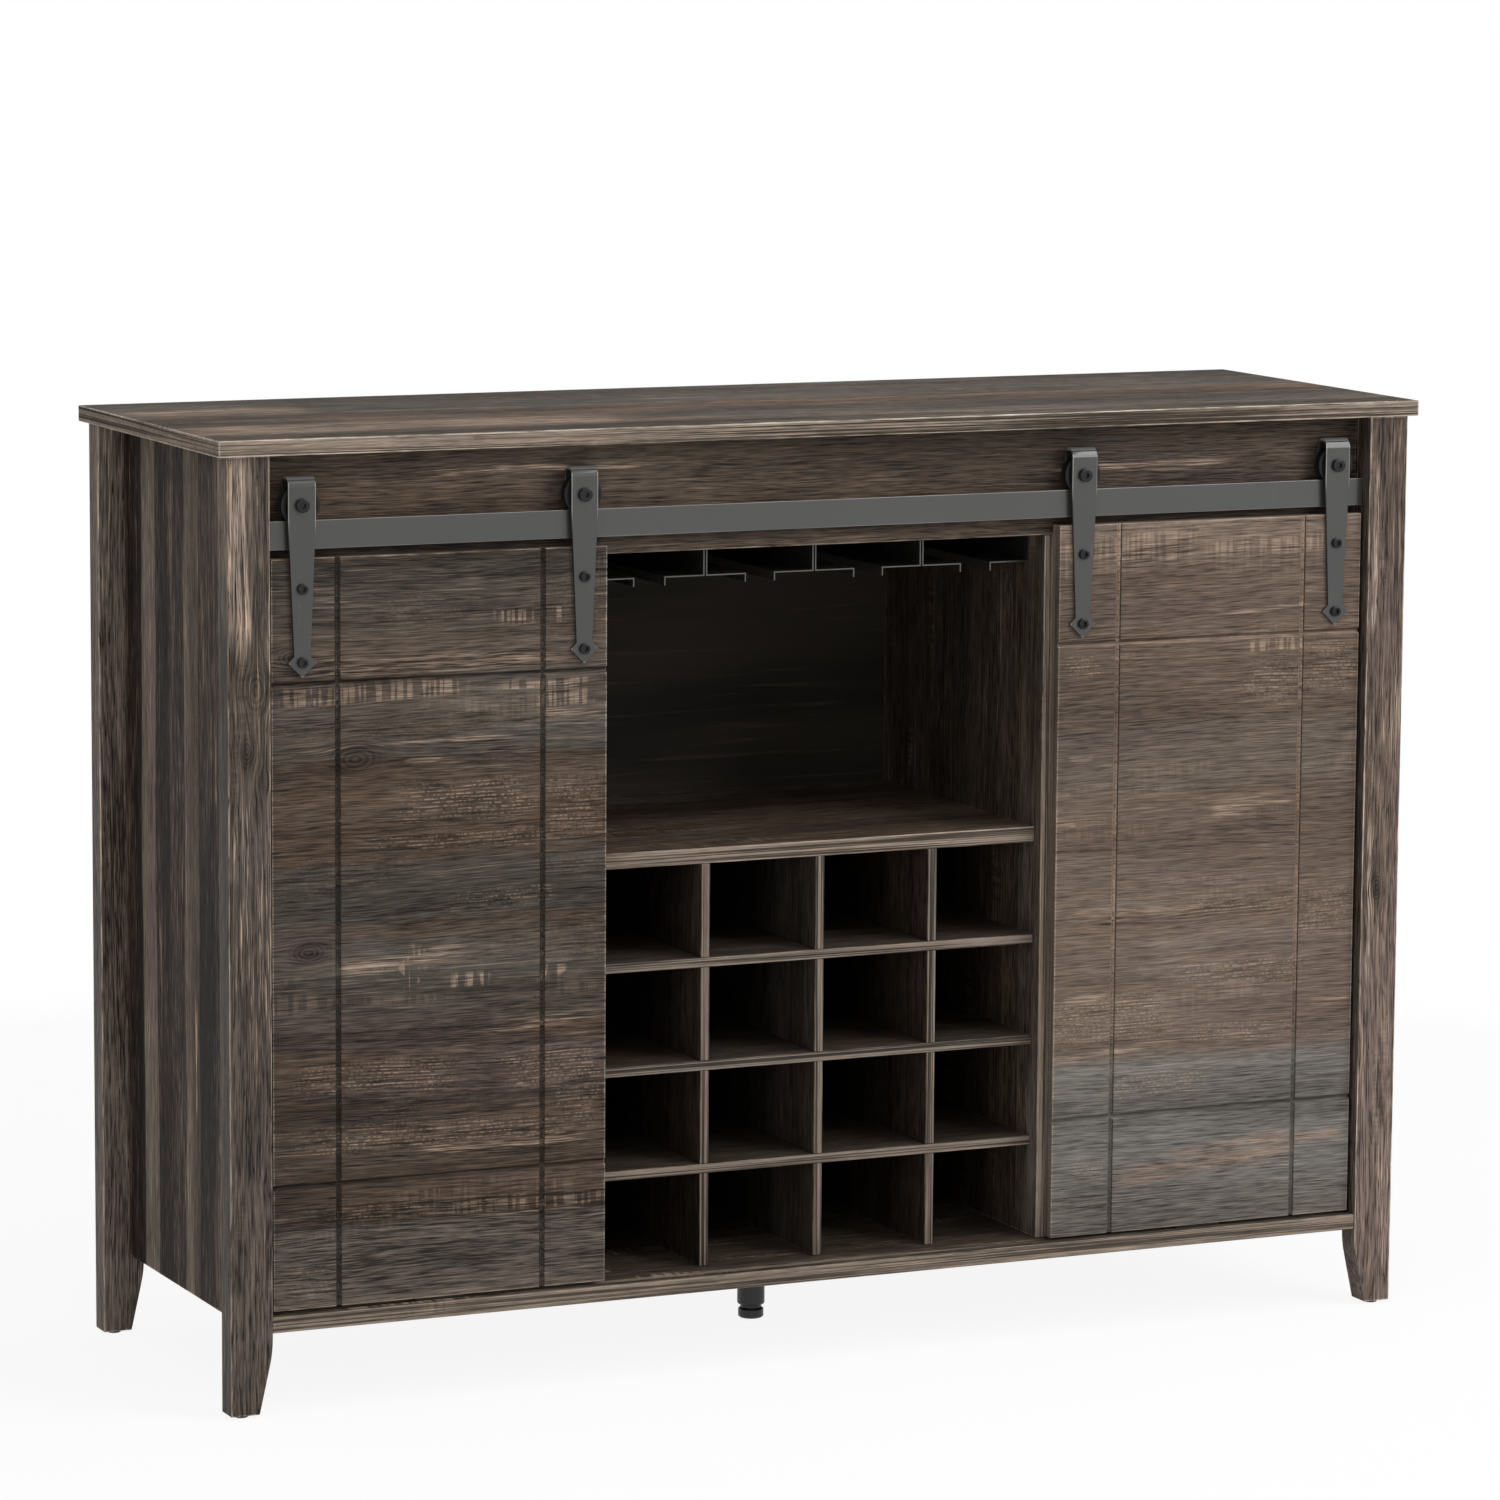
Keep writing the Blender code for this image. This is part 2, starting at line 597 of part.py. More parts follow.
def make_bolt(name, x, z, head_radius, head_height, shank):
    """A bolt along +Y with a round head, a six-sided socket and a (radius, depth) shank."""
    lift = [(radius, head_height + depth) for radius, depth in shank]
    profile = lift + [(head_radius, head_height), (head_radius, HEAD_EDGE),
                      (head_radius - HEAD_EDGE, 0), (0, 0)]
    head_front = head_back - head_height
    bolt = mesh_object(name, turned_mesh(profile, COARSE), at(x, head_front, z, TOWARD_REAR))
    finished(bolt, "black_steel", smooth=True)
    socket = rod_mesh(SOCKET_RADIUS, 2 * SOCKET_DEPTH, 6)
    boolean(bolt, mesh_object(name + "_socket", socket,
                              at(x, head_front - SOCKET_DEPTH, z, TOWARD_REAR)))
    return bolt


def make_axle(name, x):
    """The roller's axle: a bolt through both legs of the hanger, headed over behind."""
    tail = rear_leg_back + SEAT_GAP - head_back
    end = tail + AXLE_TAIL_HEIGHT
    shank = [(0, end), (AXLE_TAIL_RADIUS, end), (AXLE_TAIL_RADIUS, tail), (AXLE_RADIUS, tail),
             (AXLE_RADIUS, 0)]
    return make_bolt(name, x, axle_z, AXLE_HEAD_RADIUS, AXLE_HEAD_HEIGHT, shank)


def make_door_bolt(name, x, z):
    end = door_front + BOLT_REACH - head_back
    shank = [(0, end), (BOLT_RADIUS, end), (BOLT_RADIUS, 0)]
    return make_bolt(name, x, z, BOLT_HEAD_RADIUS, BOLT_HEAD_HEIGHT, shank)


def make_roller(name, x):
    """A grooved wheel. Its origin is on its axle, and it turns about Y."""
    half = ROLLER_WIDTH / 2
    tread = TRACK_THICKNESS / 2 + ROLLER_TRACK_GAP
    bore, edge = AXLE_RADIUS + SEAT_GAP, ROLLER_EDGE
    rim = flange_radius - edge
    profile = [(bore, half), (rim, half), (flange_radius, half - edge),
               (flange_radius, tread + FLANGE_LEAN), (TREAD_RADIUS, tread),
               (TREAD_RADIUS, -tread), (flange_radius, -tread - FLANGE_LEAN),
               (flange_radius, edge - half), (rim, -half), (bore, -half), (bore, half)]
    wheel = mesh_object(name, turned_mesh(profile, FINE), at(x, track_y, axle_z, TOWARD_REAR))
    return finished(wheel, "black_plastic", smooth=True)


def guide_outline(grown):
    """Plan of the floor guide: a bar with round ends, grown on all sides."""
    radius = GUIDE_WIDTH / 2 + grown
    straight = (GUIDE_LENGTH - GUIDE_WIDTH) / 2
    points = []
    for end in (1, -1):
        for step in range(7):
            angle = math.pi * (step / 6 - 0.5)
            points.append((end * (straight + radius * math.cos(angle)), end * radius * math.sin(angle)))
    return points


def make_guide(name, panel, side):
    """A plastic fin let into the door's lower edge, running in the floor groove."""
    x = side * door_middle_x
    low, high = base_top - GUIDE_REACH, door_bottom + GUIDE_SUNK
    fin = outline_mesh(guide_outline(0), high - low)
    guide = mesh_object(name, fin, at(x, door_middle_y, (low + high) / 2))
    slot = outline_mesh(guide_outline(SEAT_GAP), 2 * (GUIDE_SUNK + SEAT_GAP))
    boolean(panel, mesh_object(name + "_slot", slot, at(x, door_middle_y, door_bottom)))
    return finished(guide, "black_plastic", smooth=True)


def make_door(name, side):
    panel = make_door_panel(name, side)
    hung = [panel, make_guide(f"{name}_floor_guide", panel, side)]
    hole = rod_mesh(BOLT_RADIUS + SEAT_GAP, 2 * (BOLT_REACH + SEAT_GAP), COARSE)
    for place, distance in hanger_xs.items():
        x = side * distance
        hung.append(make_hanger(f"{name}_hanger_{place}", x))
        hung.append(make_axle(f"{name}_axle_{place}", x))
        hung.append(make_roller(f"{name}_roller_{place}", x))
        for row, z in bolt_zs.items():
            node = f"{name}_bolt_{place}_{row}"
            hung.append(make_door_bolt(node, x, z))
            boolean(panel, mesh_object(node + "_hole", hole,
                                       at(x, door_front - BOLT_REACH - SEAT_GAP, z, TOWARD_REAR)))
    hold(f"{name}_door_slide", (side * door_middle_x, track_y, track_top), hung)


make_posts()
make_carcass()
make_back_panels()
make_partitions()
make_shelves()
make_rack()
make_stem_rails()
make_track()
make_center_leg()
for side_name, side_sign in SIDES.items():
    make_door(side_name, side_sign)
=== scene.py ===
# Looks for the coffee bar cabinet: camera, studio, rustic wood, painted steel and small fittings.
import math

import bpy
from mathutils import Matrix, Vector


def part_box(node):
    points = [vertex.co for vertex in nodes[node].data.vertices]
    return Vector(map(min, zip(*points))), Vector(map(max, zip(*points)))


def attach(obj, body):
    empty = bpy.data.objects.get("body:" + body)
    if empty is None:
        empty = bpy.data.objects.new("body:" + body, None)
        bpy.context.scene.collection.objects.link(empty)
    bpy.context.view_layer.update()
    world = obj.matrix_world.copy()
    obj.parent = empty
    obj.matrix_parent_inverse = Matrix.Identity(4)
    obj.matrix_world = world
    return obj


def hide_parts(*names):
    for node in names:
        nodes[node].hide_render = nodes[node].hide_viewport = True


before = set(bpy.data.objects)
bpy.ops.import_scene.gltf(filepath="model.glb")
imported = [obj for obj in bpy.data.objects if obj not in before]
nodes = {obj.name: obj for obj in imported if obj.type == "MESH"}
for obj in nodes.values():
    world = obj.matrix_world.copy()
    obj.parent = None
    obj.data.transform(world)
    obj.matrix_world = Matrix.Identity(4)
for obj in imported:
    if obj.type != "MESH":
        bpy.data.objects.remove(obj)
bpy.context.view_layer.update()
print("frame loaded:", len(nodes), "nodes")


cameraView = {
    "place": (-2.4931, -5.4450, 1.4224),
    "turn": -24.558,      # degrees about the vertical
    "tilt": 81.827,       # degrees up from looking straight down
    "roll": 0.3987,
    "lens": 149.677,
    "sensor": 36.0,
}


def addCamera(view):
    data = bpy.data.cameras.new("studioCamera")
    data.lens = view["lens"]
    data.sensor_width = view["sensor"]
    data.sensor_height = view["sensor"]
    data.clip_end = 100
    camera = bpy.data.objects.new("studioCamera", data)
    bpy.context.scene.collection.objects.link(camera)
    turned = (Matrix.Rotation(math.radians(view["turn"]), 4, "Z")
              @ Matrix.Rotation(math.radians(view["tilt"]), 4, "X")
              @ Matrix.Rotation(math.radians(view["roll"]), 4, "Z"))
    camera.matrix_world = Matrix.Translation(view["place"]) @ turned
    bpy.context.scene.camera = camera
    bpy.context.scene.view_settings.view_transform = "Standard"


addCamera(cameraView)
print("camera placed")


# A socket that can be used in sums. Numbers alone are worked out in Python.
class Wire:
    def __init__(self, graph, socket):
        self.graph = graph
        self.socket = socket

    def maths(self, operation, *values):
        return self.graph.add("ShaderNodeMath", {"operation": operation}, dict(enumerate(values)))

    def __add__(self, other):
        return self.maths("ADD", self, other)

    def __radd__(self, other):
        return self.maths("ADD", other, self)

    def __sub__(self, other):
        return self.maths("SUBTRACT", self, other)

    def __rsub__(self, other):
        return self.maths("SUBTRACT", other, self)

    def __mul__(self, other):
        return self.maths("MULTIPLY", self, other)

    def __rmul__(self, other):
        return self.maths("MULTIPLY", other, self)

    def __truediv__(self, other):
        return self.maths("DIVIDE", self, other)

    def __rtruediv__(self, other):
        return self.maths("DIVIDE", other, self)

    def __abs__(self):
        return self.maths("ABSOLUTE", self)

    def root(self):
        return self.maths("SQRT", self)

    def sine(self):
        return self.maths("SINE", self)

    def lower(self, other):
        return self.maths("MINIMUM", self, other)

    def higher(self, other):
        return self.maths("MAXIMUM", self, other)

    def whole(self):
        return self.maths("FLOOR", self)

    def rise(self, start, end):
        # 0 up to start, 1 from end, smooth between. Start may be above end.
        settings = {"interpolation_type": "SMOOTHSTEP"}
        flip = start > end
        low, high = (end, start) if flip else (start, end)
        ramp = self.graph.add("ShaderNodeMapRange", settings,
                              {"Value": self, "From Min": low, "From Max": high})
        return 1 - ramp if flip else ramp


class Graph:
    # The nodes of a material or a world, with the shader and the output it starts with.
    def __init__(self, owner, shader="Principled BSDF", output="Material Output"):
        self.owner = owner
        owner.use_nodes = True
        self.tree = owner.node_tree
        self.shader = self.tree.nodes[shader]
        self.output = self.tree.nodes[output]

    def add(self, kind, settings=None, inputs=None, output=0):
        node = self.tree.nodes.new(kind)
        for key, value in (settings or {}).items():
            if getattr(node, key) != value:
                setattr(node, key, value)
        for key, value in (inputs or {}).items():
            self.feed(node.inputs[key], value)
        return Wire(self, node.outputs[output])

    def feed(self, socket, value):
        if isinstance(value, Wire):
            self.tree.links.new(value.socket, socket)
        else:
            socket.default_value = value

    def vectorMaths(self, operation, first, second, name="vectorMaths"):
        return self.add("ShaderNodeVectorMath", {"operation": operation, "name": name},
                        {0: first, 1: second})

    def mixColour(self, factor, first, second, blend="MIX"):
        # Sockets 6 and 7 and output 2 are the node's colours.
        first, second = (value if isinstance(value, Wire) else (*value, 1)
                         for value in (first, second))
        settings = {"data_type": "RGBA", "blend_type": blend}
        return self.add("ShaderNodeMix", settings, {0: factor, 6: first, 7: second}, 2)

    def noise(self, vector, scale, detail=2.0, rough=0.5):
        # The scale is one number for each axis, in turns a metre.
        stretched = self.vectorMaths("MULTIPLY", vector, scale)
        return self.add("ShaderNodeTexNoise", {}, {"Vector": stretched, "Scale": 1.0,
                        "Detail": detail, "Roughness": rough})

    def place(self):
        return self.add("ShaderNodeTexCoord", output="Object")

    def facing(self):
        return self.split(self.add("ShaderNodeNewGeometry", output="Normal"))

    def split(self, vector):
        node = self.add("ShaderNodeSeparateXYZ", {}, {0: vector}).socket.node
        return [Wire(self, node.outputs[axis]) for axis in range(3)]

    def join(self, x, y, z):
        return self.add("ShaderNodeCombineXYZ", {}, {0: x, 1: y, 2: z})

    def darken(self, colour, tone):
        return self.mixColour(1.0, colour, self.join(tone, tone, tone), "MULTIPLY")

    def finish(self, sockets, bump=None):
        for key, value in sockets.items():
            self.feed(self.shader.inputs[key], value)
        if bump:
            self.feed(self.shader.inputs["Normal"], self.add("ShaderNodeBump", {}, bump))
        return self.owner

    def seen(self):
        # 1 for what the camera sees, also in a mirror or through glass, and 0 for other light.
        camera, glossy, through = (self.add("ShaderNodeLightPath", output=f"Is {kind} Ray")
                                   for kind in ("Camera", "Glossy", "Transmission"))
        return camera.higher(glossy).higher(through)

    def showMix(self, factor, other):
        # The graph's own shader where the factor is 0, the other one where it is 1.
        own = Wire(self, self.shader.outputs[0])
        mixed = self.add("ShaderNodeMixShader", {}, {0: factor, 1: own, 2: other})
        self.feed(self.output.inputs["Surface"], mixed)


# For each kind of board: the axis along the grain, the one across it on its face, the last one.
boardAxes = {"door": (0, 2, 1), "level": (0, 1, 2), "side": (2, 1, 0), "post": (2, 0, 1)}

woodLook = {
    "deep": (0.034, 0.024, 0.017),
    "brown": (0.092, 0.064, 0.045),
    "grey": (0.086, 0.074, 0.061),
    "plum": (0.088, 0.065, 0.062),
    "pale": (0.205, 0.158, 0.128),
    "tan": (0.330, 0.242, 0.178),
    "edgeTan": (0.300, 0.236, 0.184),    # tape on the board edges
    "bare": (0.340, 0.275, 0.220),       # corners rubbed bare
    "lines": 0.20,         # depth of the broad dark lines
    "hairs": 0.36,         # depth of the thin dark lines
    "light": 1.0,          # brightness of the whole piece; on some pieces it stands for painted light or shade
    "greyness": 0.5,       # share of grey planks
    "deepness": 0.75,      # share of the darkest brown
    "plank": 0.085,        # width of the printed planks
    "plankTone": 0.30,     # how much the planks differ in brightness
    "seam": 0.30,          # how dark the lines between the planks are
    "sawn": 1.0,           # how much the saw marks show
    "worn": 1.0,           # how much of the surface is worn to tan
    "contrast": 1.0,       # depth of the grain
    "band": 0.55,          # how light the board edges are
    "edgeDark": 0.0,       # how much darker the board edges are
    "edgeWear": 0.8,       # how much the corners are rubbed
    "rough": 0.58,
    "sheen": 0.14,         # strength of the gloss
    # Placed one by one. Knots: along, across, size. Marks: along, across, half length, half height,
    # slope. Bands: across, half height, share.
    "knots": (),
    "sawnMarks": (),
    "wovenMarks": (),
    "wornMarks": (),
    "paleMarks": (),
    "paleBands": (),
    "greyBands": (),
    "darkBands": (),
}
# Layers of the printed pattern: turns a metre along the grain, across it and through the board,
# then detail and roughness where they aren't 2.0 and 0.5.
woodLayers = {
    "sway": ((3.2, 9, 9), 1.0),
    "ripple": ((17, 30, 30), 1.0),
    "patches": ((2.2, 15, 15), 3.0, 0.6),
    "broad": ((1.6, 6, 6),),
    "stripes": ((2.2, 52, 52), 2.0, 0.55),
    "streaks": ((9, 310, 310), 3.0, 0.70),
    "fine": ((14, 560, 560), 2.0, 0.7),
    "fibres": ((44, 860, 860), 1.0, 0.6),
    "mottle": ((60, 130, 130), 2.0, 0.6),
    "lines": ((4.5, 120, 120), 3.0, 0.55),
    "hairs": ((9, 340, 340),),
    "plum": ((2.4, 20, 20),),
    "sawBars": ((240, 14, 14), 1.0, 0.4),
    "sawPatch": ((5, 34, 34),),
    "dots": ((330, 290, 290), 1.0),
    "dotPatch": ((24, 110, 110), 1.0),
    "weavePatch": ((6, 22, 22), 2.0, 0.55),
    "wornPatch": ((3.6, 48, 48), 3.0, 0.6),
    "tape": ((2.4, 2.4, 560), 2.0, 0.62),
}
# Between which values each part of the pattern comes in, or goes out if the first is the higher.
woodSteps = {
    "knot": (1.9, 0.1),
    "seam": (0.480, 0.5),
    "lines": (0.0, 0.028),
    "hairs": (0.0, 0.030),
    "grey": (0.28, 0.72),
    "plum": (0.50, 0.66),
    "deep": (0.56, 0.30),
    "pale": (0.34, 0.52),
    "sawBars": (0.45, 0.55),
    "sawPatch": (0.590, 0.67),
    "sawFine": (0.34, 0.50),
    "rows": (-0.15, 0.55),
    "dots": (0.42, 0.58),
    "dotPatch": (0.54, 0.64),
    "weavePatch": (0.53, 0.63),
    "wornPatch": (0.66, 0.76),
    "wornStreaks": (0.40, 0.56),
    "wornFine": (0.42, 0.56),
    "lightLines": (0.54, 0.66),
    "lightPatches": (0.46, 0.60),
    "onEdge": (0.3, 0.7),
    "tape": (0.42, 0.56),
    "rub": (0.45, 1.0),
}
woodSizes = {    # in metres
    "sway": 0.013,
    "ripple": 0.0018,
    "plankSway": 0.016,
    "ragAcross": 0.016,    # how far the edges of marks and bands are frayed
    "ragSway": 0.010,
    "ragAlong": 0.06,
    "rub": 0.0007,         # least width of the rubbed corners
    "rubMore": 0.0018,
    "rowPitch": 0.0034,    # rows of dots
}
woodShares = {    # how much of each mark shows
    "bars": 0.74, "weave": 0.62, "worn": 0.88, "lightLines": 0.50,
}
# How much each layer changes the brightness.
woodTones = {
    "plain": 0.90,         # before any layer
    "least": 0.14,
    "patches": 1.5,
    "stripes": 0.7,
    "streaks": 0.7,
    "fine": 2.3,
    "fibres": 2.4,
    "mottle": 0.5,
    "tape": 0.78,          # of the tape itself
    "tapeStreaks": 0.78,
}
knotShape = {
    "flatness": 0.34,      # the lower, the longer along the grain
    "push": 0.66,          # how far the grain goes round
    "fade": 0.6,
    "rings": 21,
    "dark": 0.35,
    "ringTone": 0.20,
}


def nearEdge(graph, position, name):
    # Distance to the closest edge of a node's box: the middle one of the distances to its faces.
    low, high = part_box(name)
    fromLow = graph.vectorMaths("SUBTRACT", position, low, "boxLow")
    fromHigh = graph.vectorMaths("SUBTRACT", high, position, "boxHigh")
    x, y, z = graph.split(graph.vectorMaths("MINIMUM", fromLow, fromHigh))
    return x.lower(y).higher(x.higher(y).lower(z))


def shiftOf(seed):
    return (seed * 3.71, seed * 1.93, seed * 2.37)


def alike(model, name, seed):
    # The same finish for another node: only its box and its part of the pattern change.
    material = model.copy()
    material.name = name + "Like"
    parts = material.node_tree.nodes
    low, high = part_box(name)
    parts["shift"].inputs[1].default_value = shiftOf(seed)
    parts["boxLow"].inputs[1].default_value = low
    parts["boxHigh"].inputs[0].default_value = high
    return material


def markMask(along, across, marks):
    # Soft patches at the places given. No marks give no mask.
    mask = 0
    for u, v, halfLength, halfHeight, slope in marks:
        aside = abs(across - v - (along - u) * slope)
        spot = ((abs(along - u) * (1 / halfLength)).rise(1.05, 0.65)
                * (aside * (1 / halfHeight)).rise(1.10, 0.40))
        mask = spot if isinstance(mask, int) else mask.higher(spot)
    return mask


def bandMask(across, bands):
    mask = 0
    for v, half, share in bands:
        spot = (abs(across - v) * (1 / half)).rise(1.10, 0.84) * share
        mask = spot if isinstance(mask, int) else mask.higher(spot)
    return mask


def woodFinish(name, board, seed, look, shading=None):
    look = {**woodLook, **look}
    sizes, shares, tones, knot = woodSizes, woodShares, woodTones, knotShape
    graph = Graph(bpy.data.materials.new(name + "Wood"))
    position = graph.place()
    spot = graph.split(position)
    along, across, through = (spot[axis] for axis in boardAxes[board])
    plain = graph.vectorMaths("ADD", graph.join(along, across, through), shiftOf(seed), "shift")

    def layer(key, place):
        return graph.noise(place, *woodLayers[key])

    def comesIn(wire, key):
        return wire.rise(*woodSteps[key])

    # The grain sways, bends round each knot and shows rings in the knot's middle.
    sway = layer("sway", plain) - 0.5
    ripple = layer("ripple", plain) - 0.5
    bend = sway * sizes["sway"] + ripple * sizes["ripple"]
    ringMask, ringWave = None, None
    for u, v, size in look["knots"]:
        du, dv = along - u, across - v
        reach = du * du * (knot["flatness"] / size ** 2) + dv * dv * (1.0 / size ** 2)
        bend = bend + dv * (-knot["push"] / (1 + reach * reach * knot["fade"]))
        core = comesIn(reach, "knot")
        rings = (reach.root() * knot["rings"]).sine() * core
        ringMask = core if ringMask is None else ringMask.higher(core)
        ringWave = rings if ringWave is None else ringWave + rings
    bent = graph.vectorMaths("ADD", plain, graph.join(0, bend, 0))

    plankPlace = (graph.split(plain)[1] + sway * sizes["plankSway"]) * (1 / look["plank"])
    plankNumber = plankPlace.whole()
    plankPick = graph.add("ShaderNodeTexWhiteNoise", {"noise_dimensions": "1D"},
                          {"W": plankNumber})
    seam = comesIn(abs(plankPlace - plankNumber - 0.5), "seam")

    patches = layer("patches", bent)
    streaks = layer("streaks", bent)
    fine = layer("fine", bent)
    fibres = layer("fibres", bent)
    mottle = layer("mottle", bent)
    lines = 1 - comesIn(abs(layer("lines", bent) - 0.5), "lines")
    hairs = 1 - comesIn(abs(layer("hairs", bent) - 0.5), "hairs")
    sawPatch = layer("sawPatch", bent)

    greyShare = comesIn(plankPick * 0.55 + patches * 0.75 + (look["greyness"] - 0.68), "grey")
    ragged = across + (streaks - 0.5) * sizes["ragAcross"] + sway * sizes["ragSway"]
    raggedAlong = along + (sawPatch - 0.5) * sizes["ragAlong"]
    greyBand = bandMask(ragged, look["greyBands"])
    greyShare = greyShare.higher(greyBand)
    colour = graph.mixColour(greyShare, look["brown"], look["grey"])
    plumShare = comesIn(layer("plum", bent), "plum") * 0.55
    plumShare = plumShare * (1 - greyBand * 0.9)
    colour = graph.mixColour(plumShare, colour, look["plum"])
    deepShare = (comesIn(layer("broad", bent), "deep") * look["deepness"]).higher(
        bandMask(ragged, look["darkBands"]))
    colour = graph.mixColour(deepShare, colour, look["deep"])
    if look["paleBands"]:
        colour = graph.mixColour(bandMask(ragged, look["paleBands"]), colour, look["pale"])
    if look["paleMarks"]:
        paleMask = markMask(raggedAlong, across, look["paleMarks"]) * comesIn(streaks, "pale")
        colour = graph.mixColour(paleMask, colour, look["pale"])

    # Saw marks are short bars across the grain and rows of dots along it. Worn streaks and light
    # lines follow the grain. All are tan.
    barMask = comesIn(layer("sawBars", plain), "sawBars") * (
        comesIn(sawPatch, "sawPatch") * look["sawn"]).higher(
        markMask(raggedAlong, ragged, look["sawnMarks"])) * (
        0.55 + comesIn(fine, "sawFine") * 0.45)
    turn = 6.283    # radians from one row to the next
    rows = comesIn(((across + bend) * (turn / sizes["rowPitch"]) + (streaks - 0.5) * 5).sine(),
                   "rows")
    dots = comesIn(layer("dots", plain), "dots").higher(
        comesIn(layer("dotPatch", plain), "dotPatch") * 0.6)
    weaveMask = rows * dots * (
        comesIn(layer("weavePatch", bent), "weavePatch") * look["sawn"]).higher(
        markMask(raggedAlong, ragged, look["wovenMarks"]))
    wornMask = (comesIn(layer("wornPatch", bent), "wornPatch") * look["worn"]).higher(
        markMask(raggedAlong, ragged, look["wornMarks"]))
    wornMask = wornMask * comesIn(streaks, "wornStreaks") * (
        0.35 + comesIn(fine, "wornFine") * 0.65)
    lightLines = comesIn(streaks * 0.4 + fine * 0.6, "lightLines") * comesIn(
        patches, "lightPatches") * (shares["lightLines"] * look["worn"])
    tanMask = (barMask * shares["bars"]).higher(weaveMask * shares["weave"]).higher(
        wornMask * shares["worn"]).higher(lightLines)
    colour = graph.mixColour(tanMask, colour, look["tan"])

    depth = look["contrast"]
    tone = tones["plain"] + (plankPick - 0.5) * look["plankTone"]
    for key, part in (("patches", patches), ("stripes", layer("stripes", bent)),
                      ("streaks", streaks), ("fine", fine), ("fibres", fibres),
                      ("mottle", mottle)):
        tone = tone + (part - 0.5) * (tones[key] * depth)
    tone = (tone - lines * (look["lines"] * depth) - hairs * (look["hairs"] * depth)
            - seam * look["seam"])
    if ringMask is not None:
        tone = tone * (1 - ringMask * knot["dark"]) + ringWave * knot["ringTone"]

    # Board edges carry their own tape, streaked along its length, and the corners are rubbed.
    low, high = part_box(name)
    thin = min(range(3), key=lambda axis: high[axis] - low[axis])
    onEdge = 1 - comesIn(abs(graph.facing()[thin]), "onEdge")
    band = comesIn(layer("tape", plain), "tape")
    taped = onEdge * look["band"]
    colour = graph.mixColour(taped * (0.45 + band * 0.55), colour, look["edgeTan"])
    tone = tone * (1 - taped * 0.75) + taped * tones["tape"]
    tone = tone * (1 - onEdge * look["edgeDark"] - taped * (1 - band) * tones["tapeStreaks"])
    rub = nearEdge(graph, position, name) / (sizes["rub"] + mottle * sizes["rubMore"])
    rubMask = (1 - comesIn(rub, "rub")) * (0.35 + streaks * 0.8) * look["edgeWear"]
    colour = graph.mixColour(rubMask, colour, look["bare"])

    tone = tone.higher(tones["least"]) * look["light"]
    # Doors add painted light and shade in their grooves.
    if shading is not None:
        tone = tone * shading(graph, spot)
    return graph.finish({"Base Color": graph.darken(colour, tone),
                         "Roughness": (look["rough"] + (streaks - 0.5) * 0.16 - rubMask * 0.05
                                       + tanMask * 0.08),
                         "Specular IOR Level": look["sheen"]},
                        {"Height": (streaks * 0.4 + fine * 0.5 + fibres * 0.3 - lines * 0.4
                                    - hairs * 0.2),
                         "Strength": 0.30, "Distance": 0.0006})


def grooveShade(depthStart, paint):
    # Painted light and shade in the door grooves, which are the only faces just behind the door's
    # front: one level for each of a groove's flanks, lighter or darker as it faces the light, and a
    # thin painted shadow rim where the right and upper flanks end. The lit flanks fade to a dark
    # level towards the door's foot, painted shade lower down.
    def shading(graph, spot):
        depth = spot[1] - depthStart
        facing = graph.facing()
        inside = depth.rise(*grooveDepths["start"]) * depth.rise(*grooveDepths["end"]) * (
            abs(facing[1]).rise(0.25, 0.55))
        sides = (("right", facing[0]), ("left", facing[0] * -1),
                 ("up", facing[2]), ("down", facing[2] * -1))
        change = inside * 0
        fadeStart, fadeEnd, faded = paint["fade"]
        strong = spot[2].rise(fadeStart, fadeEnd)
        for side, turned in sides:
            level = paint[side] - 1
            if level > 0:
                level = strong * (paint[side] - faded) + (faded - 1)
            change = change + turned.rise(0.3, 0.6) * level
        rim = depth.rise(*grooveDepths["rim"]) * facing[0].rise(-0.3, -0.6).higher(
            facing[2].rise(-0.3, -0.6))
        return 1 + inside * (change * (1 - rim) + rim * (paint["rim"] - 1))
    return shading


def applyFinish(node, material):
    nodes[node].material_slots[0].material = material


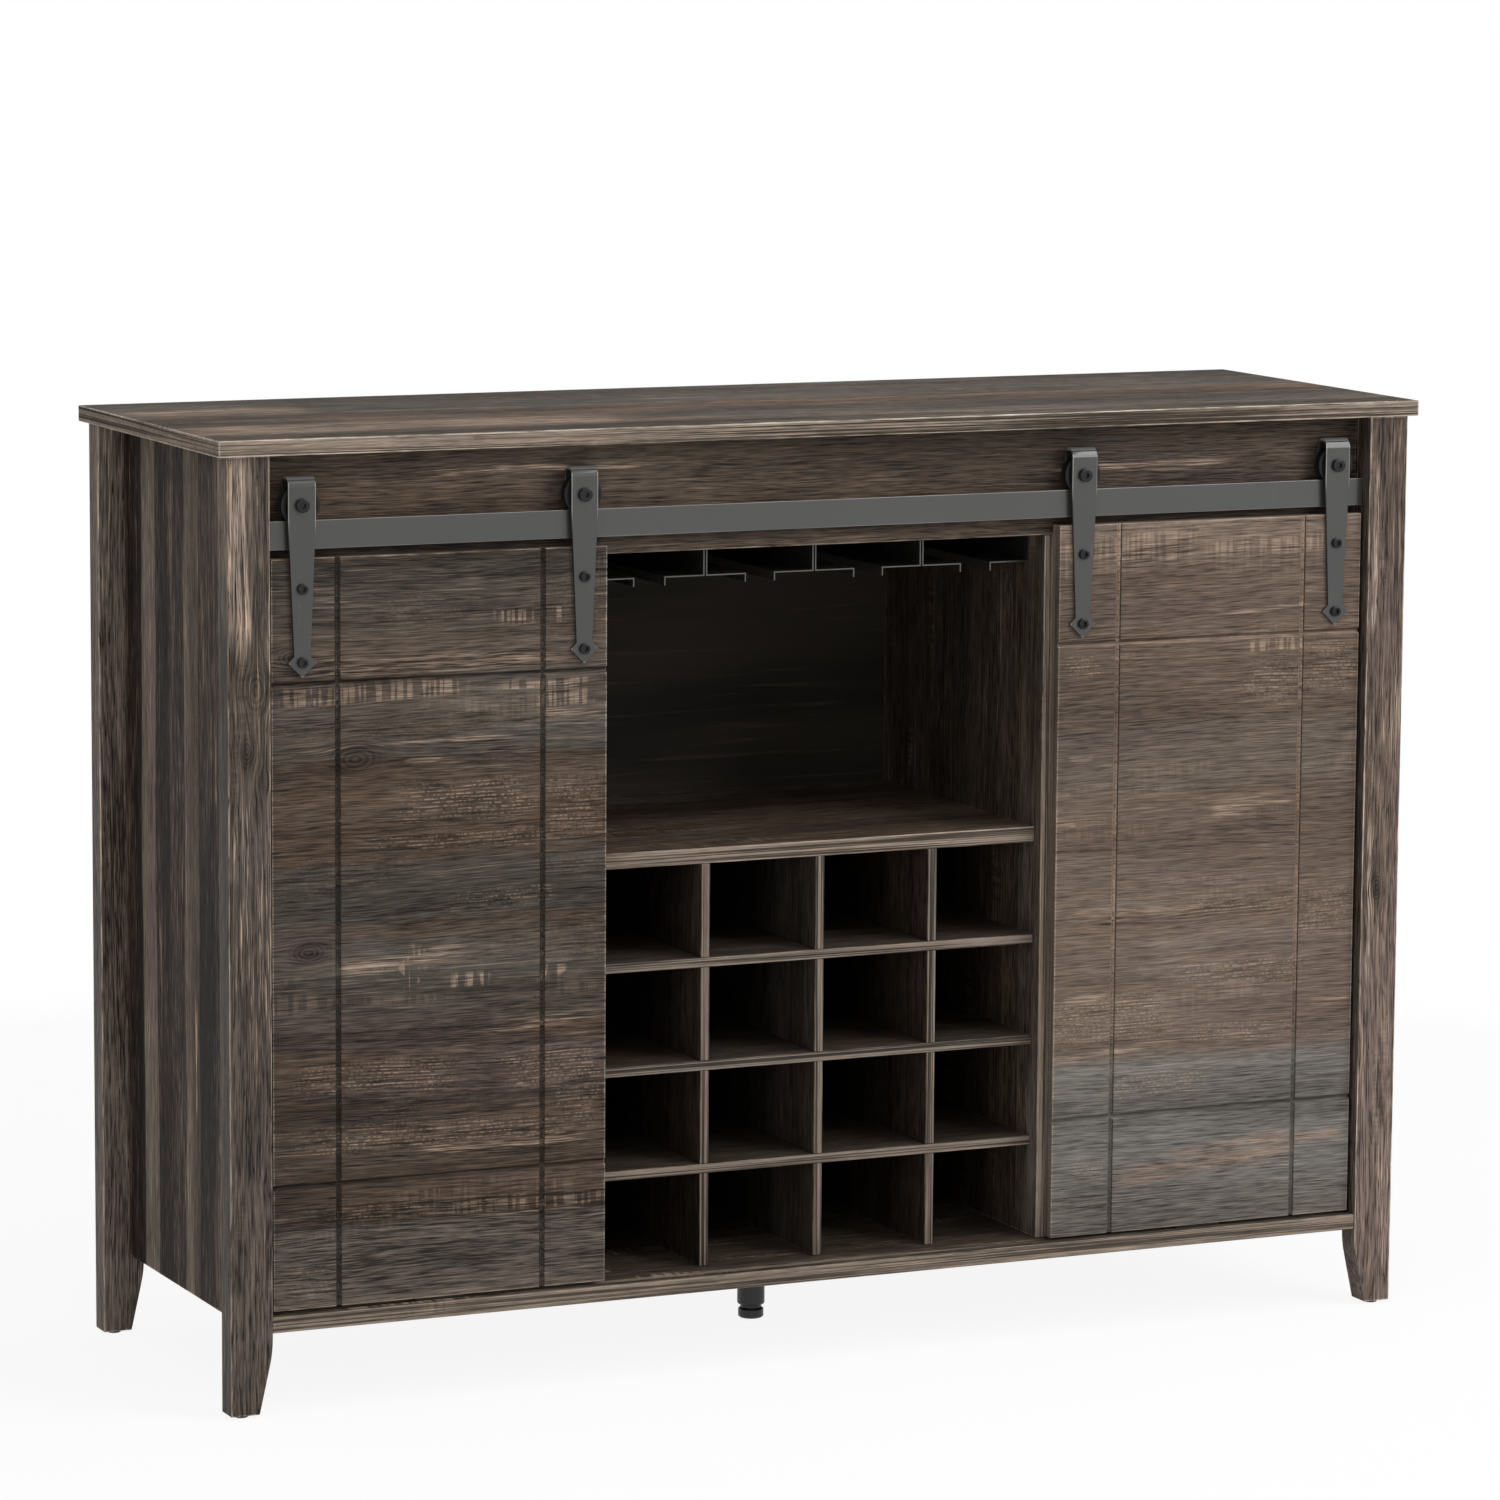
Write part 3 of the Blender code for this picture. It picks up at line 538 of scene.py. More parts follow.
doorLook = {
    "left": {
        "light": 0.785, "greyness": 0.30, "sawn": 0.25, "worn": 0.60, "plank": 0.083,
        "plankTone": 0.40, "edgeWear": 1.0, "contrast": 0.98, "deepness": 0.60,
        "brown": (0.100, 0.066, 0.045), "grey": (0.081, 0.075, 0.065),
        "knots": ((-0.484, 0.604, 0.013), (-0.530, 0.428, 0.010), (-0.545, 0.700, 0.009)),
        "sawnMarks": (
            (-0.530, 0.664, 0.040, 0.010, 0.0), (-0.440, 0.665, 0.078, 0.010, 0.0),
            (-0.310, 0.729, 0.046, 0.008, 0.0), (-0.300, 0.664, 0.050, 0.005, 0.0),
            (-0.315, 0.178, 0.085, 0.008, 0.0), (-0.282, 0.393, 0.013, 0.007, 0.0),
            (-0.370, 0.392, 0.022, 0.009, 0.0), (-0.428, 0.408, 0.006, 0.024, 0.0),
            (-0.270, 0.650, 0.026, 0.010, 0.0)),
        "wovenMarks": (
            (-0.380, 0.560, 0.080, 0.024, 0.0), (-0.262, 0.548, 0.030, 0.036, 0.0),
            (-0.370, 0.524, 0.130, 0.010, 0.0), (-0.345, 0.465, 0.060, 0.012, 0.0),
            (-0.470, 0.308, 0.090, 0.020, 0.0), (-0.290, 0.305, 0.055, 0.024, 0.0),
            (-0.400, 0.250, 0.160, 0.016, 0.0), (-0.262, 0.265, 0.026, 0.030, 0.0),
            (-0.535, 0.120, 0.022, 0.020, 0.0), (-0.430, 0.180, 0.120, 0.010, 0.0)),
        "wornMarks": (
            (-0.440, 0.414, 0.062, 0.010, 0.16), (-0.415, 0.690, 0.140, 0.010, 0.0),
            (-0.262, 0.638, 0.028, 0.006, 0.0), (-0.420, 0.600, 0.020, 0.003, 0.05),
            (-0.340, 0.603, 0.040, 0.003, 0.02), (-0.430, 0.616, 0.110, 0.002, 0.03),
            (-0.300, 0.350, 0.080, 0.006, 0.03), (-0.330, 0.236, 0.110, 0.006, 0.0),
            (-0.540, 0.178, 0.028, 0.005, 0.0), (-0.300, 0.171, 0.080, 0.003, 0.0)),
        "paleMarks": ((-0.445, 0.415, 0.052, 0.007, 0.16),),
        "paleBands": (
            (0.128, 0.040, 0.50), (0.693, 0.014, 0.26), (0.655, 0.020, 0.14), (0.240, 0.020, 0.14)),
        "greyBands": (
            (0.130, 0.040, 0.90), (0.762, 0.026, 0.65), (0.480, 0.028, 0.75), (0.395, 0.016, 0.6)),
        "darkBands": (
            (0.480, 0.020, 0.40), (0.278, 0.009, 0.60), (0.756, 0.034, 0.34), (0.388, 0.014, 0.40),
            (0.220, 0.004, 0.5), (0.596, 0.006, 0.35)),
    },
    "right": {
        "light": 0.93, "deepness": 0.22, "plum": (0.146, 0.105, 0.090), "greyness": 0.16,
        "pale": (0.250, 0.188, 0.148),
        "sawn": 0.18, "worn": 0.35, "plank": 0.104, "plankTone": 0.22, "seam": 0.15,
        "contrast": 0.68, "brown": (0.154, 0.110, 0.082), "grey": (0.170, 0.160, 0.146),
        "deep": (0.072, 0.055, 0.042), "edgeWear": 0.9,
        "sawnMarks": (
            (0.345, 0.765, 0.045, 0.018, 0.0), (0.450, 0.760, 0.055, 0.012, 0.0),
            (0.245, 0.758, 0.012, 0.022, 0.0), (0.520, 0.762, 0.022, 0.012, 0.0),
            (0.290, 0.768, 0.020, 0.014, 0.0), (0.475, 0.665, 0.030, 0.006, 0.0)),
        "wovenMarks": (
            (0.530, 0.642, 0.036, 0.034, 0.0), (0.470, 0.630, 0.034, 0.030, 0.0),
            (0.300, 0.308, 0.080, 0.030, 0.0), (0.440, 0.345, 0.080, 0.016, 0.0),
            (0.335, 0.780, 0.080, 0.004, 0.0), (0.430, 0.155, 0.060, 0.008, 0.0),
            (0.275, 0.160, 0.020, 0.014, 0.0), (0.460, 0.412, 0.090, 0.008, 0.0),
            (0.440, 0.285, 0.070, 0.010, 0.0), (0.530, 0.400, 0.030, 0.030, 0.0),
            (0.350, 0.240, 0.060, 0.016, 0.0), (0.260, 0.655, 0.020, 0.016, 0.0)),
        "wornMarks": (
            (0.458, 0.510, 0.050, 0.008, 0.14), (0.460, 0.700, 0.048, 0.003, 0.10),
            (0.310, 0.276, 0.085, 0.004, 0.07), (0.250, 0.500, 0.016, 0.003, 0.0),
            (0.330, 0.412, 0.090, 0.006, 0.0), (0.265, 0.330, 0.030, 0.004, 0.0),
            (0.540, 0.312, 0.024, 0.004, 0.0), (0.256, 0.565, 0.014, 0.003, 0.0)),
        "paleMarks": (
            (0.430, 0.165, 0.080, 0.017, 0.10), (0.350, 0.152, 0.050, 0.012, 0.08),
            (0.532, 0.174, 0.030, 0.006, 0.05)),
        "paleBands": ((0.768, 0.024, 0.40), (0.700, 0.030, 0.07), (0.115, 0.024, 0.10),),
        "greyBands": ((0.160, 0.112, 0.95), (0.560, 0.034, 0.25),),
        "darkBands": ((0.540, 0.100, 0.28), (0.320, 0.060, 0.16), (0.225, 0.028, 0.22),),
    },
}
grooveDepths = {    # in metres behind the door's front, from none to all
    "start": (0.0001, 0.0004), "end": (0.0042, 0.0034), "rim": (0.0013, 0.0009),
}
# Painted light and shade in the grooves, one level for each flank and the rim; the painted light
# fades lower down.
grooveLightAndShade = {    # flanks that look right, left, up and down; heights and level of the fading
    "left": {"right": 0.42, "left": 0.62, "up": 0.72, "down": 0.40, "rim": 0.45,
             "fade": (0.10, 0.20, 0.5)},
    "right": {"right": 1.50, "left": 2.30, "up": 1.70, "down": 0.80, "rim": 0.35,
              "fade": (0.20, 0.42, 0.84)},
}
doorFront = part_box("left_door_panel")[0][1]
for number, side in enumerate(("left", "right")):
    name = f"{side}_door_panel"
    applyFinish(name, woodFinish(name, "door", 3 + number * 5, doorLook[side],
                                 grooveShade(doorFront, grooveLightAndShade[side])))
print("doors finished")


shelfEdge = {"band": 0.92, "edgeTan": (0.262, 0.206, 0.162)}
sidePlanks = {
    "light": 1.08, "sheen": 0.06, "greyness": 0.26, "sawn": 0.05, "worn": 1.2, "plank": 0.040,
    "plankTone": 1.9, "seam": 0.95, "contrast": 1.6,
    "grey": (0.070, 0.068, 0.054), "brown": (0.102, 0.072, 0.056), "plum": (0.088, 0.060, 0.062),
    "paleMarks": ((0.800, 0.036, 0.045, 0.006, 0.0),),
    "wornMarks": ((0.810, 0.040, 0.050, 0.004, 0.0), (0.700, 0.010, 0.030, 0.002, 0.0),
                  (0.600, -0.085, 0.040, 0.004, 0.0), (0.520, 0.020, 0.050, 0.003, 0.0),
                  (0.470, -0.110, 0.050, 0.003, 0.0), (0.380, 0.070, 0.060, 0.002, 0.0),
                  (0.300, -0.030, 0.070, 0.004, 0.0), (0.210, -0.090, 0.050, 0.003, 0.0)),
    "darkBands": ((-0.132, 0.016, 0.70), (-0.030, 0.012, 0.60), (0.055, 0.014, 0.70),
                  (0.130, 0.010, 0.60)),
    "knots": ((0.660, -0.030, 0.008), (0.455, 0.060, 0.007)),
}
boardLook = {    # kind of board, seed of the pattern, look; left ones stand for their pair
    "top_board": ("level", 11, {
        "light": 0.76, "sheen": 0.02, "greyness": 0.50, "plank": 0.098, "edgeWear": 1.0,
        "worn": 1.2, "sawn": 0.3, "contrast": 1.35, "band": 0.85,
        "brown": (0.122, 0.080, 0.054), "plum": (0.100, 0.070, 0.060),
        "pale": (0.250, 0.180, 0.132), "bare": (0.680, 0.580, 0.480),
        "edgeTan": (0.400, 0.320, 0.255),
        "paleMarks": ((-0.40, -0.10, 0.24, 0.050, 0.0), (-0.52, 0.08, 0.10, 0.040, 0.0)),
        "paleBands": ((-0.130, 0.020, 0.30), (0.030, 0.020, 0.20)),
        "darkBands": ((-0.176, 0.014, 0.55), (-0.070, 0.012, 0.50), (0.085, 0.014, 0.45),
                      (0.165, 0.022, 0.40))}),
    "bottom_board": ("level", 12, {"light": 0.96, "greyness": 0.48, "band": 0.75}),
    "header_rail": ("door", 13, {
        "light": 0.92, "greyness": 0.20, "sawn": 0.0, "worn": 0.3, "plank": 0.30,
        "edgeWear": 0.5, "contrast": 1.05,
        "wornMarks": ((-0.30, 0.862, 0.12, 0.004, 0.0), (0.33, 0.845, 0.10, 0.006, 0.0)),
        # The header's two dark bands are painted shade, under the top board and below the track.
        "darkBands": ((0.800, 0.012, 0.5), (0.868, 0.010, 0.3))}),
    "glass_panel": ("level", 14, {"light": 0.80, "sawn": 0.4}),
    "center_shelf": ("level", 15, {"light": 1.12, "sawn": 0.3, "worn": 0.7, **shelfEdge}),
    "left_side_panel": ("side", 16, sidePlanks),
    # On the partitions the raised light is painted light on the front of the bays, and the broad
    # dark band is painted shade towards the back.
    "left_partition": ("side", 18, {"light": 1.30, "sawn": 0.3, "worn": 0.5, "band": 0.8,
                                    "darkBands": ((0.060, 0.126, 0.8),)}),
    "left_side_shelf": ("level", 20, {"light": 0.9, "sawn": 0.4, **shelfEdge}),
}
postLook = {"light": 1.08, "greyness": 0.30, "sawn": 0.15, "worn": 1.4, "plank": 0.14,
            "brown": (0.108, 0.080, 0.066), "edgeWear": 0.9, "contrast": 1.10, "hairs": 0.80,
            "band": 0.06, "edgeDark": 0.30}
postLooks = {
    "front_left_post": {
        "knots": ((0.673, -0.583, 0.012), (0.618, -0.592, 0.008), (0.590, -0.575, 0.006)),
        "paleMarks": ((0.800, -0.600, 0.090, 0.016, 0.0),),
        "greyBands": ((-0.600, 0.012, 0.5),),
        "wornMarks": ((0.830, -0.606, 0.060, 0.004, 0.0), (0.760, -0.596, 0.030, 0.010, 0.0))},
    # The front right post's higher light is painted light, because light falls more strongly on the
    # right.
    "front_right_post": {
        "light": 1.74, "contrast": 0.90, "worn": 0.9, "knots": ((0.420, 0.586, 0.008),),
        "paleMarks": ((0.760, 0.577, 0.100, 0.004, 0.0), (0.400, 0.577, 0.080, 0.003, 0.0))},
}
# The rack's low light is painted shade inside the bays; its paler edge tape and corners are edge
# banding with painted light on the lit front edges.
rackLook = {"light": 0.55, "greyness": 0.40, "sawn": 0.1, "worn": 0.3, "plank": 0.16,
            "edgeWear": 0.6, "band": 0.95, "edgeTan": (0.422, 0.335, 0.265),
            "bare": (0.480, 0.390, 0.315)}


def finishPair(name, board, seed, look):
    # Both of a pair have one finish, each its own part of the pattern.
    finish = woodFinish(name, board, seed, look)
    applyFinish(name, finish)
    if "left" in name:
        twin = name.replace("left", "right")
        applyFinish(twin, alike(finish, twin, seed + 1))


for name, (board, seed, look) in boardLook.items():
    finishPair(name, board, seed, look)
for seed, (name, look) in enumerate(postLooks.items(), 30):
    applyFinish(name, woodFinish(name, "post", seed, {**postLook, **look}))
# The rear posts' higher light is painted light on these shaded posts.
finishPair("rear_left_post", "post", 32, {**postLook, "light": 1.95})
for kind, board, seed in (("upright", "side", 40), ("shelf", "level", 50)):
    model = woodFinish(f"rack_{kind}_1", board, seed, rackLook)
    applyFinish(f"rack_{kind}_1", model)
    for number in (2, 3):
        applyFinish(f"rack_{kind}_{number}", alike(model, f"rack_{kind}_{number}", seed + number))
print("boards finished")


backLook = {
    "printed": ((0.020, 0.017, 0.013), (0.044, 0.036, 0.029)),    # inside the cabinet
    "printedStreaks": (0.090, 0.074, 0.060),
    "fibre": ((0.085, 0.053, 0.032), (0.165, 0.108, 0.068)),      # behind
    "clouds": (0.070, 0.045, 0.028),
    "flecks": (0.210, 0.150, 0.100),
    "rough": 0.60,
    "rougher": 0.25,       # added behind
    "sheen": 0.10,
}


def backBoardFinish(name, seed, look):
    # Dark printed face inside the cabinet, bare pressed fibre behind.
    graph = Graph(bpy.data.materials.new(name + "Board"))
    moved = graph.add("ShaderNodeMapping", {}, {"Vector": graph.place(),
                      "Location": (seed * 1.7, 0, seed * 0.9)})
    behind = graph.facing()[1].rise(0.2, 0.6)
    streaks = graph.noise(moved, (5, 5, 150), 3.0, 0.6)
    broad = graph.noise(moved, (2, 2, 14), 3.0)
    printed = graph.mixColour(broad.rise(0.35, 0.65), *look["printed"])
    printed = graph.mixColour(streaks.rise(0.56, 0.72) * 0.5, printed, look["printedStreaks"])
    fibre = graph.noise(moved, (420, 420, 420), 3.0, 0.7)
    clouds = graph.noise(moved, (9, 9, 9), 3.0)
    flecks = graph.noise(moved, (900, 900, 260), 1.0).rise(0.62, 0.72)
    bare = graph.mixColour(fibre.rise(0.3, 0.7), *look["fibre"])
    bare = graph.mixColour(clouds.rise(0.35, 0.70) * 0.45, bare, look["clouds"])
    bare = graph.mixColour(flecks * 0.5, bare, look["flecks"])
    return graph.finish({"Base Color": graph.mixColour(behind, printed, bare),
                         "Roughness": look["rough"] + behind * look["rougher"],
                         "Specular IOR Level": look["sheen"]},
                        {"Height": fibre * behind + streaks * (1 - behind),
                         "Strength": 0.25, "Distance": 0.0005})


for number, name in enumerate(("left", "center", "right"), 1):
    name = f"back_panel_{name}"
    applyFinish(name, backBoardFinish(name, number, backLook))


steelLook = {
    "track": {"coat": (0.034, 0.0335, 0.0315), "bare": (0.230, 0.225, 0.215), "rough": 0.42,
              "foldHighlight": 0.0},
    # The hanger's bare colour serves both its rubbed edges and the painted highlight on its fold.
    "hanger": {"coat": (0.024, 0.0238, 0.0224), "bare": (0.400, 0.392, 0.376), "rough": 0.40,
               "foldHighlight": 0.85},    # share of painted highlight at the top of the fold
    "rub": 0.0003,         # least width of the rubbed edges
    "rubMore": 0.0012,
    "foldHighlightDepth": (-0.0042, -0.0022),    # painted highlight below the top, from none to all
    "coatGloss": {"Coat Weight": 0.70, "Coat Roughness": 0.11},
}
smallLook = {    # colour, roughness, metallic share, strength of the gloss
    "stemRail": ((0.110, 0.108, 0.102), 0.28, 0.8, 0.5),
    "foot": ((0.014, 0.014, 0.014), 0.46, 0.0, 0.5),
    "axle": ((0.020, 0.020, 0.021), 0.22, 0.7, 0.5),
    "bolt": ((0.020, 0.020, 0.021), 0.22, 0.7, 0.5),
    "roller": ((0.008, 0.008, 0.009), 0.40, 0.0, 0.2),
    "nail": ((0.200, 0.190, 0.170), 0.38, 0.9, 0.5),
    "pin": ((0.420, 0.410, 0.390), 0.30, 1.0, 0.5),
}


def paintedSteelFinish(name, seed, kind):
    look = {**steelLook, **steelLook[kind]}
    graph = Graph(bpy.data.materials.new(name + "Paint"))
    position = graph.place()
    moved = graph.vectorMaths("ADD", position, shiftOf(seed), "shift")
    grainy = graph.noise(moved, (900, 900, 900), 2.0, 0.6)
    clouds = graph.noise(moved, (14, 14, 14), 3.0)
    scuffs = graph.noise(moved, (60, 60, 9), 3.0, 0.7).rise(0.66, 0.78)
    rub = nearEdge(graph, position, name) / (look["rub"] + clouds * look["rubMore"])
    rubMask = (1 - rub.rise(0.4, 1.0)) * 0.6
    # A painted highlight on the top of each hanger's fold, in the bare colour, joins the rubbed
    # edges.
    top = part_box(name)[1][2]
    foldHighlight = graph.split(position)[2] + (scuffs - 0.5) * 0.0012 - top
    rubMask = rubMask.higher(foldHighlight.rise(*look["foldHighlightDepth"]) * look["foldHighlight"])
    colour = graph.darken(look["coat"], 0.88 + clouds * 0.16 + (grainy - 0.5) * 0.18)
    colour = graph.mixColour(rubMask.higher(scuffs * 0.25), colour, look["bare"])
    gloss = look["rough"] + (grainy - 0.5) * 0.16 + scuffs * 0.10 - rubMask * 0.08
    return graph.finish({"Base Color": colour, "Roughness": gloss, **look["coatGloss"],
                         "Metallic": 0.15 + rubMask * 0.4},
                        {"Height": grainy, "Strength": 0.12, "Distance": 0.0002})


def smallFinish(name):
    colour, rough, metallic, sheen = smallLook[name]
    graph = Graph(bpy.data.materials.new(name + "Black"))
    position = graph.place()
    grainy = graph.noise(position, (1100, 1100, 1100), 2.0, 0.6)
    clouds = graph.noise(position, (60, 60, 60), 2.0)
    return graph.finish({"Base Color": graph.darken(colour, 0.75 + clouds * 0.5),
                         "Metallic": metallic, "Specular IOR Level": sheen,
                         "Roughness": rough + (grainy - 0.5) * 0.2},
                        {"Height": grainy, "Strength": 0.10, "Distance": 0.0002})


applyFinish("track_bar", paintedSteelFinish("track_bar", 1, "track"))
hangers = sorted(name for name in nodes if "hanger" in name)
hangerPaint = paintedSteelFinish(hangers[0], 2, "hanger")
applyFinish(hangers[0], hangerPaint)
for number, name in enumerate(hangers[1:], 3):
    applyFinish(name, alike(hangerPaint, name, number))
railFinish = smallFinish("stemRail")
footFinish = smallFinish("foot")
for name in nodes:
    if name.startswith("stem_rail"):
        applyFinish(name, railFinish)
    elif "glide" in name or "guide" in name or name == "center_leg":
        applyFinish(name, footFinish)
print("metal and plastic finished")


boltLook = {
    "facets": 48,
    "rim": 0.0008,             # rounding round the head
    "socket": 0.0028,
    "socketDepth": 0.0020,
    "smooth": 30,              # degrees
    "axle": {"head": 0.0065, "height": 0.0035, "shank": 0.0040},
    "bolt": {"head": 0.0050, "height": 0.0030, "shank": 0.0030},
}


def editOnly(piece):
    bpy.ops.object.select_all(action="DESELECT")
    piece.select_set(True)
    bpy.context.view_layer.objects.active = piece


def pick(piece, test, mode="VERT"):
    # Selects the vertices that pass the test, the edges whose ends do, or the faces whose middle
    # and normal do.
    bpy.ops.mesh.select_mode(type=mode)
    bpy.ops.mesh.select_all(action="DESELECT")
    bpy.ops.object.mode_set(mode="OBJECT")
    mesh = piece.data
    corners = mesh.vertices
    if mode == "VERT":
        for vertex in corners:
            vertex.select = test(vertex.co)
    elif mode == "EDGE":
        for edge in mesh.edges:
            edge.select = all(test(corners[index].co) for index in edge.vertices)
    else:
        for face in mesh.polygons:
            face.select = test(face.center, face.normal)
    bpy.ops.object.mode_set(mode="EDIT")


def settle(piece, name):
    # Place, turn and size go into the mesh.
    piece.name = name
    piece.data.name = name
    editOnly(piece)
    bpy.ops.object.transform_apply(location=True, rotation=True, scale=True)


def closeModel(piece, name, turn, smooth):
    # Faces outwards, the piece turned by so many degrees about X, Y and Z, and its faces shaded
    # as one where they meet at less than the smooth angle.
    bpy.ops.mesh.select_all(action="SELECT")
    bpy.ops.mesh.normals_make_consistent(inside=False)
    bpy.ops.object.mode_set(mode="OBJECT")
    piece.rotation_euler = [math.radians(angle) for angle in turn]
    settle(piece, name)
    bpy.ops.object.shade_smooth_by_angle(angle=math.radians(smooth))


def modelBolt(name, look, size, length):
    # Along +Y, the middle of the head's front at the origin: a rounded head with a six-sided
    # socket, and a plain shank.
    bpy.ops.mesh.primitive_circle_add(vertices=6, radius=look["socket"])
    bolt = bpy.context.object
    bpy.ops.object.mode_set(mode="EDIT")
    bpy.ops.mesh.subdivide(number_cuts=look["facets"] // 6 - 1)    # as many facets as the rim
    bpy.ops.mesh.primitive_circle_add(vertices=look["facets"], radius=size["head"])
    bpy.ops.mesh.select_all(action="SELECT")
    bpy.ops.mesh.bridge_edge_loops()
    pick(bolt, lambda place: place.length > size["head"] * 0.99, "EDGE")
    bpy.ops.mesh.extrude_region_move(TRANSFORM_OT_translate={"value": (0, 0, -size["height"])})
    narrow = size["shank"] / size["head"]
    bpy.ops.mesh.extrude_region_move(TRANSFORM_OT_translate={"value": (0, 0, 0)})
    bpy.ops.transform.resize(value=(narrow, narrow, 1))
    bpy.ops.mesh.extrude_region_move(
        TRANSFORM_OT_translate={"value": (0, 0, size["height"] - length)})
    bpy.ops.mesh.edge_face_add()
    pick(bolt, lambda place: place.z > -1e-6 and place.length < look["socket"] * 1.01, "EDGE")
    bpy.ops.mesh.extrude_region_move(
        TRANSFORM_OT_translate={"value": (0, 0, -look["socketDepth"])})
    bpy.ops.mesh.edge_face_add()
    pick(bolt, lambda place: place.z > -1e-6 and place.length > size["head"] * 0.99, "EDGE")
    bpy.ops.mesh.bevel(offset=look["rim"], segments=3)
    closeModel(bolt, name, (90, 0, 0), look["smooth"])
    return bolt


def copyTo(model, name, place):
    piece = model.copy()
    piece.data = model.data.copy()
    bpy.context.scene.collection.objects.link(piece)
    piece.location = place
    settle(piece, name)
    return piece


def joined(pieces, name):
    editOnly(pieces[0])
    for piece in pieces:
        piece.select_set(True)
    bpy.ops.object.join()
    pieces[0].name = name
    return pieces[0]


def placeBolts(look):
    for kind in ("axle", "bolt"):
        names = [name for name in nodes if f"_{kind}_" in name]
        low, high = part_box(names[0])
        model = modelBolt(kind + "Model", look, look[kind], high[1] - low[1])
        model.data.materials.append(smallFinish(kind))
        for node in names:
            low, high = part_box(node)
            place = ((low[0] + high[0]) / 2, low[1], (low[2] + high[2]) / 2)
            piece = copyTo(model, node + "_turned", place)
            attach(piece, node.split("_")[0] + "_door")
            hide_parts(node)
        bpy.data.objects.remove(model)


placeBolts(boltLook)
print("bolts modelled")


rollerLook = {
    "facets": 72,
    "tread": 0.0139,
    "flange": 0.0189,
    "bore": 0.0043,
    "half": 0.0050,         # half the width
    "seat": 0.0026,         # half the width of the tread
    "lean": 0.0008,         # slant of the flanges' inner faces
    "edge": 0.0007,         # rounding of the flange
    "hub": 0.0075,
    "recess": 0.0155,       # the side face is sunk from the hub to here
    "sunk": 0.0007,
    "slant": 0.0004,        # of the recess's two steps
    "smooth": 35,
}


def modelRoller(look):
    # The outline is spun once round the axle, which lies along Y.
    ring = [(look["bore"], look["half"]), (look["hub"], look["half"]),
            (look["hub"] + look["slant"], look["half"] - look["sunk"]),
            (look["recess"], look["half"] - look["sunk"]),
            (look["recess"] + look["slant"], look["half"]),
            (look["flange"] - look["edge"], look["half"]),
            (look["flange"] - look["edge"] * 0.3, look["half"] - look["edge"] * 0.3),
            (look["flange"], look["half"] - look["edge"]),
            (look["flange"], look["seat"] + look["lean"]),
            (look["tread"], look["seat"])]
    outline = [Vector((radius, y, 0)) for radius, y in ring]
    outline += [Vector((radius, -y, 0)) for radius, y in reversed(ring)]
    bpy.ops.mesh.primitive_plane_add(size=look["half"], location=(0, 0, 0))
    roller = bpy.context.object
    bpy.ops.object.mode_set(mode="EDIT")
    bpy.ops.mesh.select_mode(type="VERT")
    bpy.ops.mesh.select_all(action="SELECT")
    bpy.ops.mesh.merge(type="CENTER")
    bpy.ops.mesh.select_all(action="SELECT")
    bpy.ops.transform.translate(value=outline[0])
    for start, end in zip(outline, outline[1:]):
        bpy.ops.mesh.extrude_vertices_move(TRANSFORM_OT_translate={"value": end - start})
    pick(roller, lambda place: place.x < look["bore"] * 1.01)
    bpy.ops.mesh.edge_face_add()
    bpy.ops.mesh.select_all(action="SELECT")
    bpy.ops.mesh.spin(steps=look["facets"], angle=math.tau, center=(0, 0, 0), axis=(0, 1, 0))
    bpy.ops.mesh.select_all(action="SELECT")
    bpy.ops.mesh.remove_doubles(threshold=0.00001)
    closeModel(roller, "rollerModel", (0, 0, 0), look["smooth"])
    return roller


def placeRollers(look):
    model = modelRoller(look)
    model.data.materials.append(smallFinish("roller"))
    for node in [name for name in nodes if "_roller_" in name]:
        low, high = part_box(node)
        piece = copyTo(model, node + "_turned", [(low[axis] + high[axis]) / 2 for axis in range(3)])
        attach(piece, node + "_body")
        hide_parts(node)
    bpy.data.objects.remove(model)


placeRollers(rollerLook)
print("rollers modelled")


nailLook = {
    "head": 0.0024,
    "height": 0.0007,
    "facets": 12,
    "inset": 0.009,          # from the edges of each back panel
    "spacing": 0.105,
    "dome": 0.45,            # share of the height and the radius that the head's slope takes
    "smooth": 50,
}


def modelNail(look):
    # A domed head that faces +Y, its seat at the origin.
    bpy.ops.mesh.primitive_circle_add(vertices=look["facets"], radius=look["head"],
                                      fill_type="NGON")
    nail = bpy.context.object
    bpy.ops.object.mode_set(mode="EDIT")
    bpy.ops.mesh.extrude_region_move(
        TRANSFORM_OT_translate={"value": (0, 0, look["height"] * (1 - look["dome"]))})
    bpy.ops.mesh.inset(thickness=look["head"] * look["dome"],
                       depth=look["height"] * look["dome"])
    closeModel(nail, "nailModel", (-90, 0, 0), look["smooth"])
    return nail


def evenly(start, end, spacing):
    count = max(2, round((end - start) / spacing) + 1)
    return [start + (end - start) * step / (count - 1) for step in range(count)]


def placeNails(look):
    model = modelNail(look)
    copies = []
    for part in ("left", "center", "right"):
        low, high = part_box(f"back_panel_{part}")
        xs = evenly(low[0] + look["inset"], high[0] - look["inset"], look["spacing"])
        zs = evenly(low[2] + look["inset"], high[2] - look["inset"], look["spacing"])
        spots = [(x, z) for x in (xs[0], xs[-1]) for z in zs]
        spots += [(x, z) for x in xs[1:-1] for z in (zs[0], zs[-1])]
        copies += [copyTo(model, f"nail{len(copies) + number}", (x, high[1], z))
                   for number, (x, z) in enumerate(spots)]
    nails = joined(copies, "back_nails")
    nails.data.materials.append(smallFinish("nail"))
    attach(nails, "root")
    bpy.data.objects.remove(model)


placeNails(nailLook)
print("nails modelled")


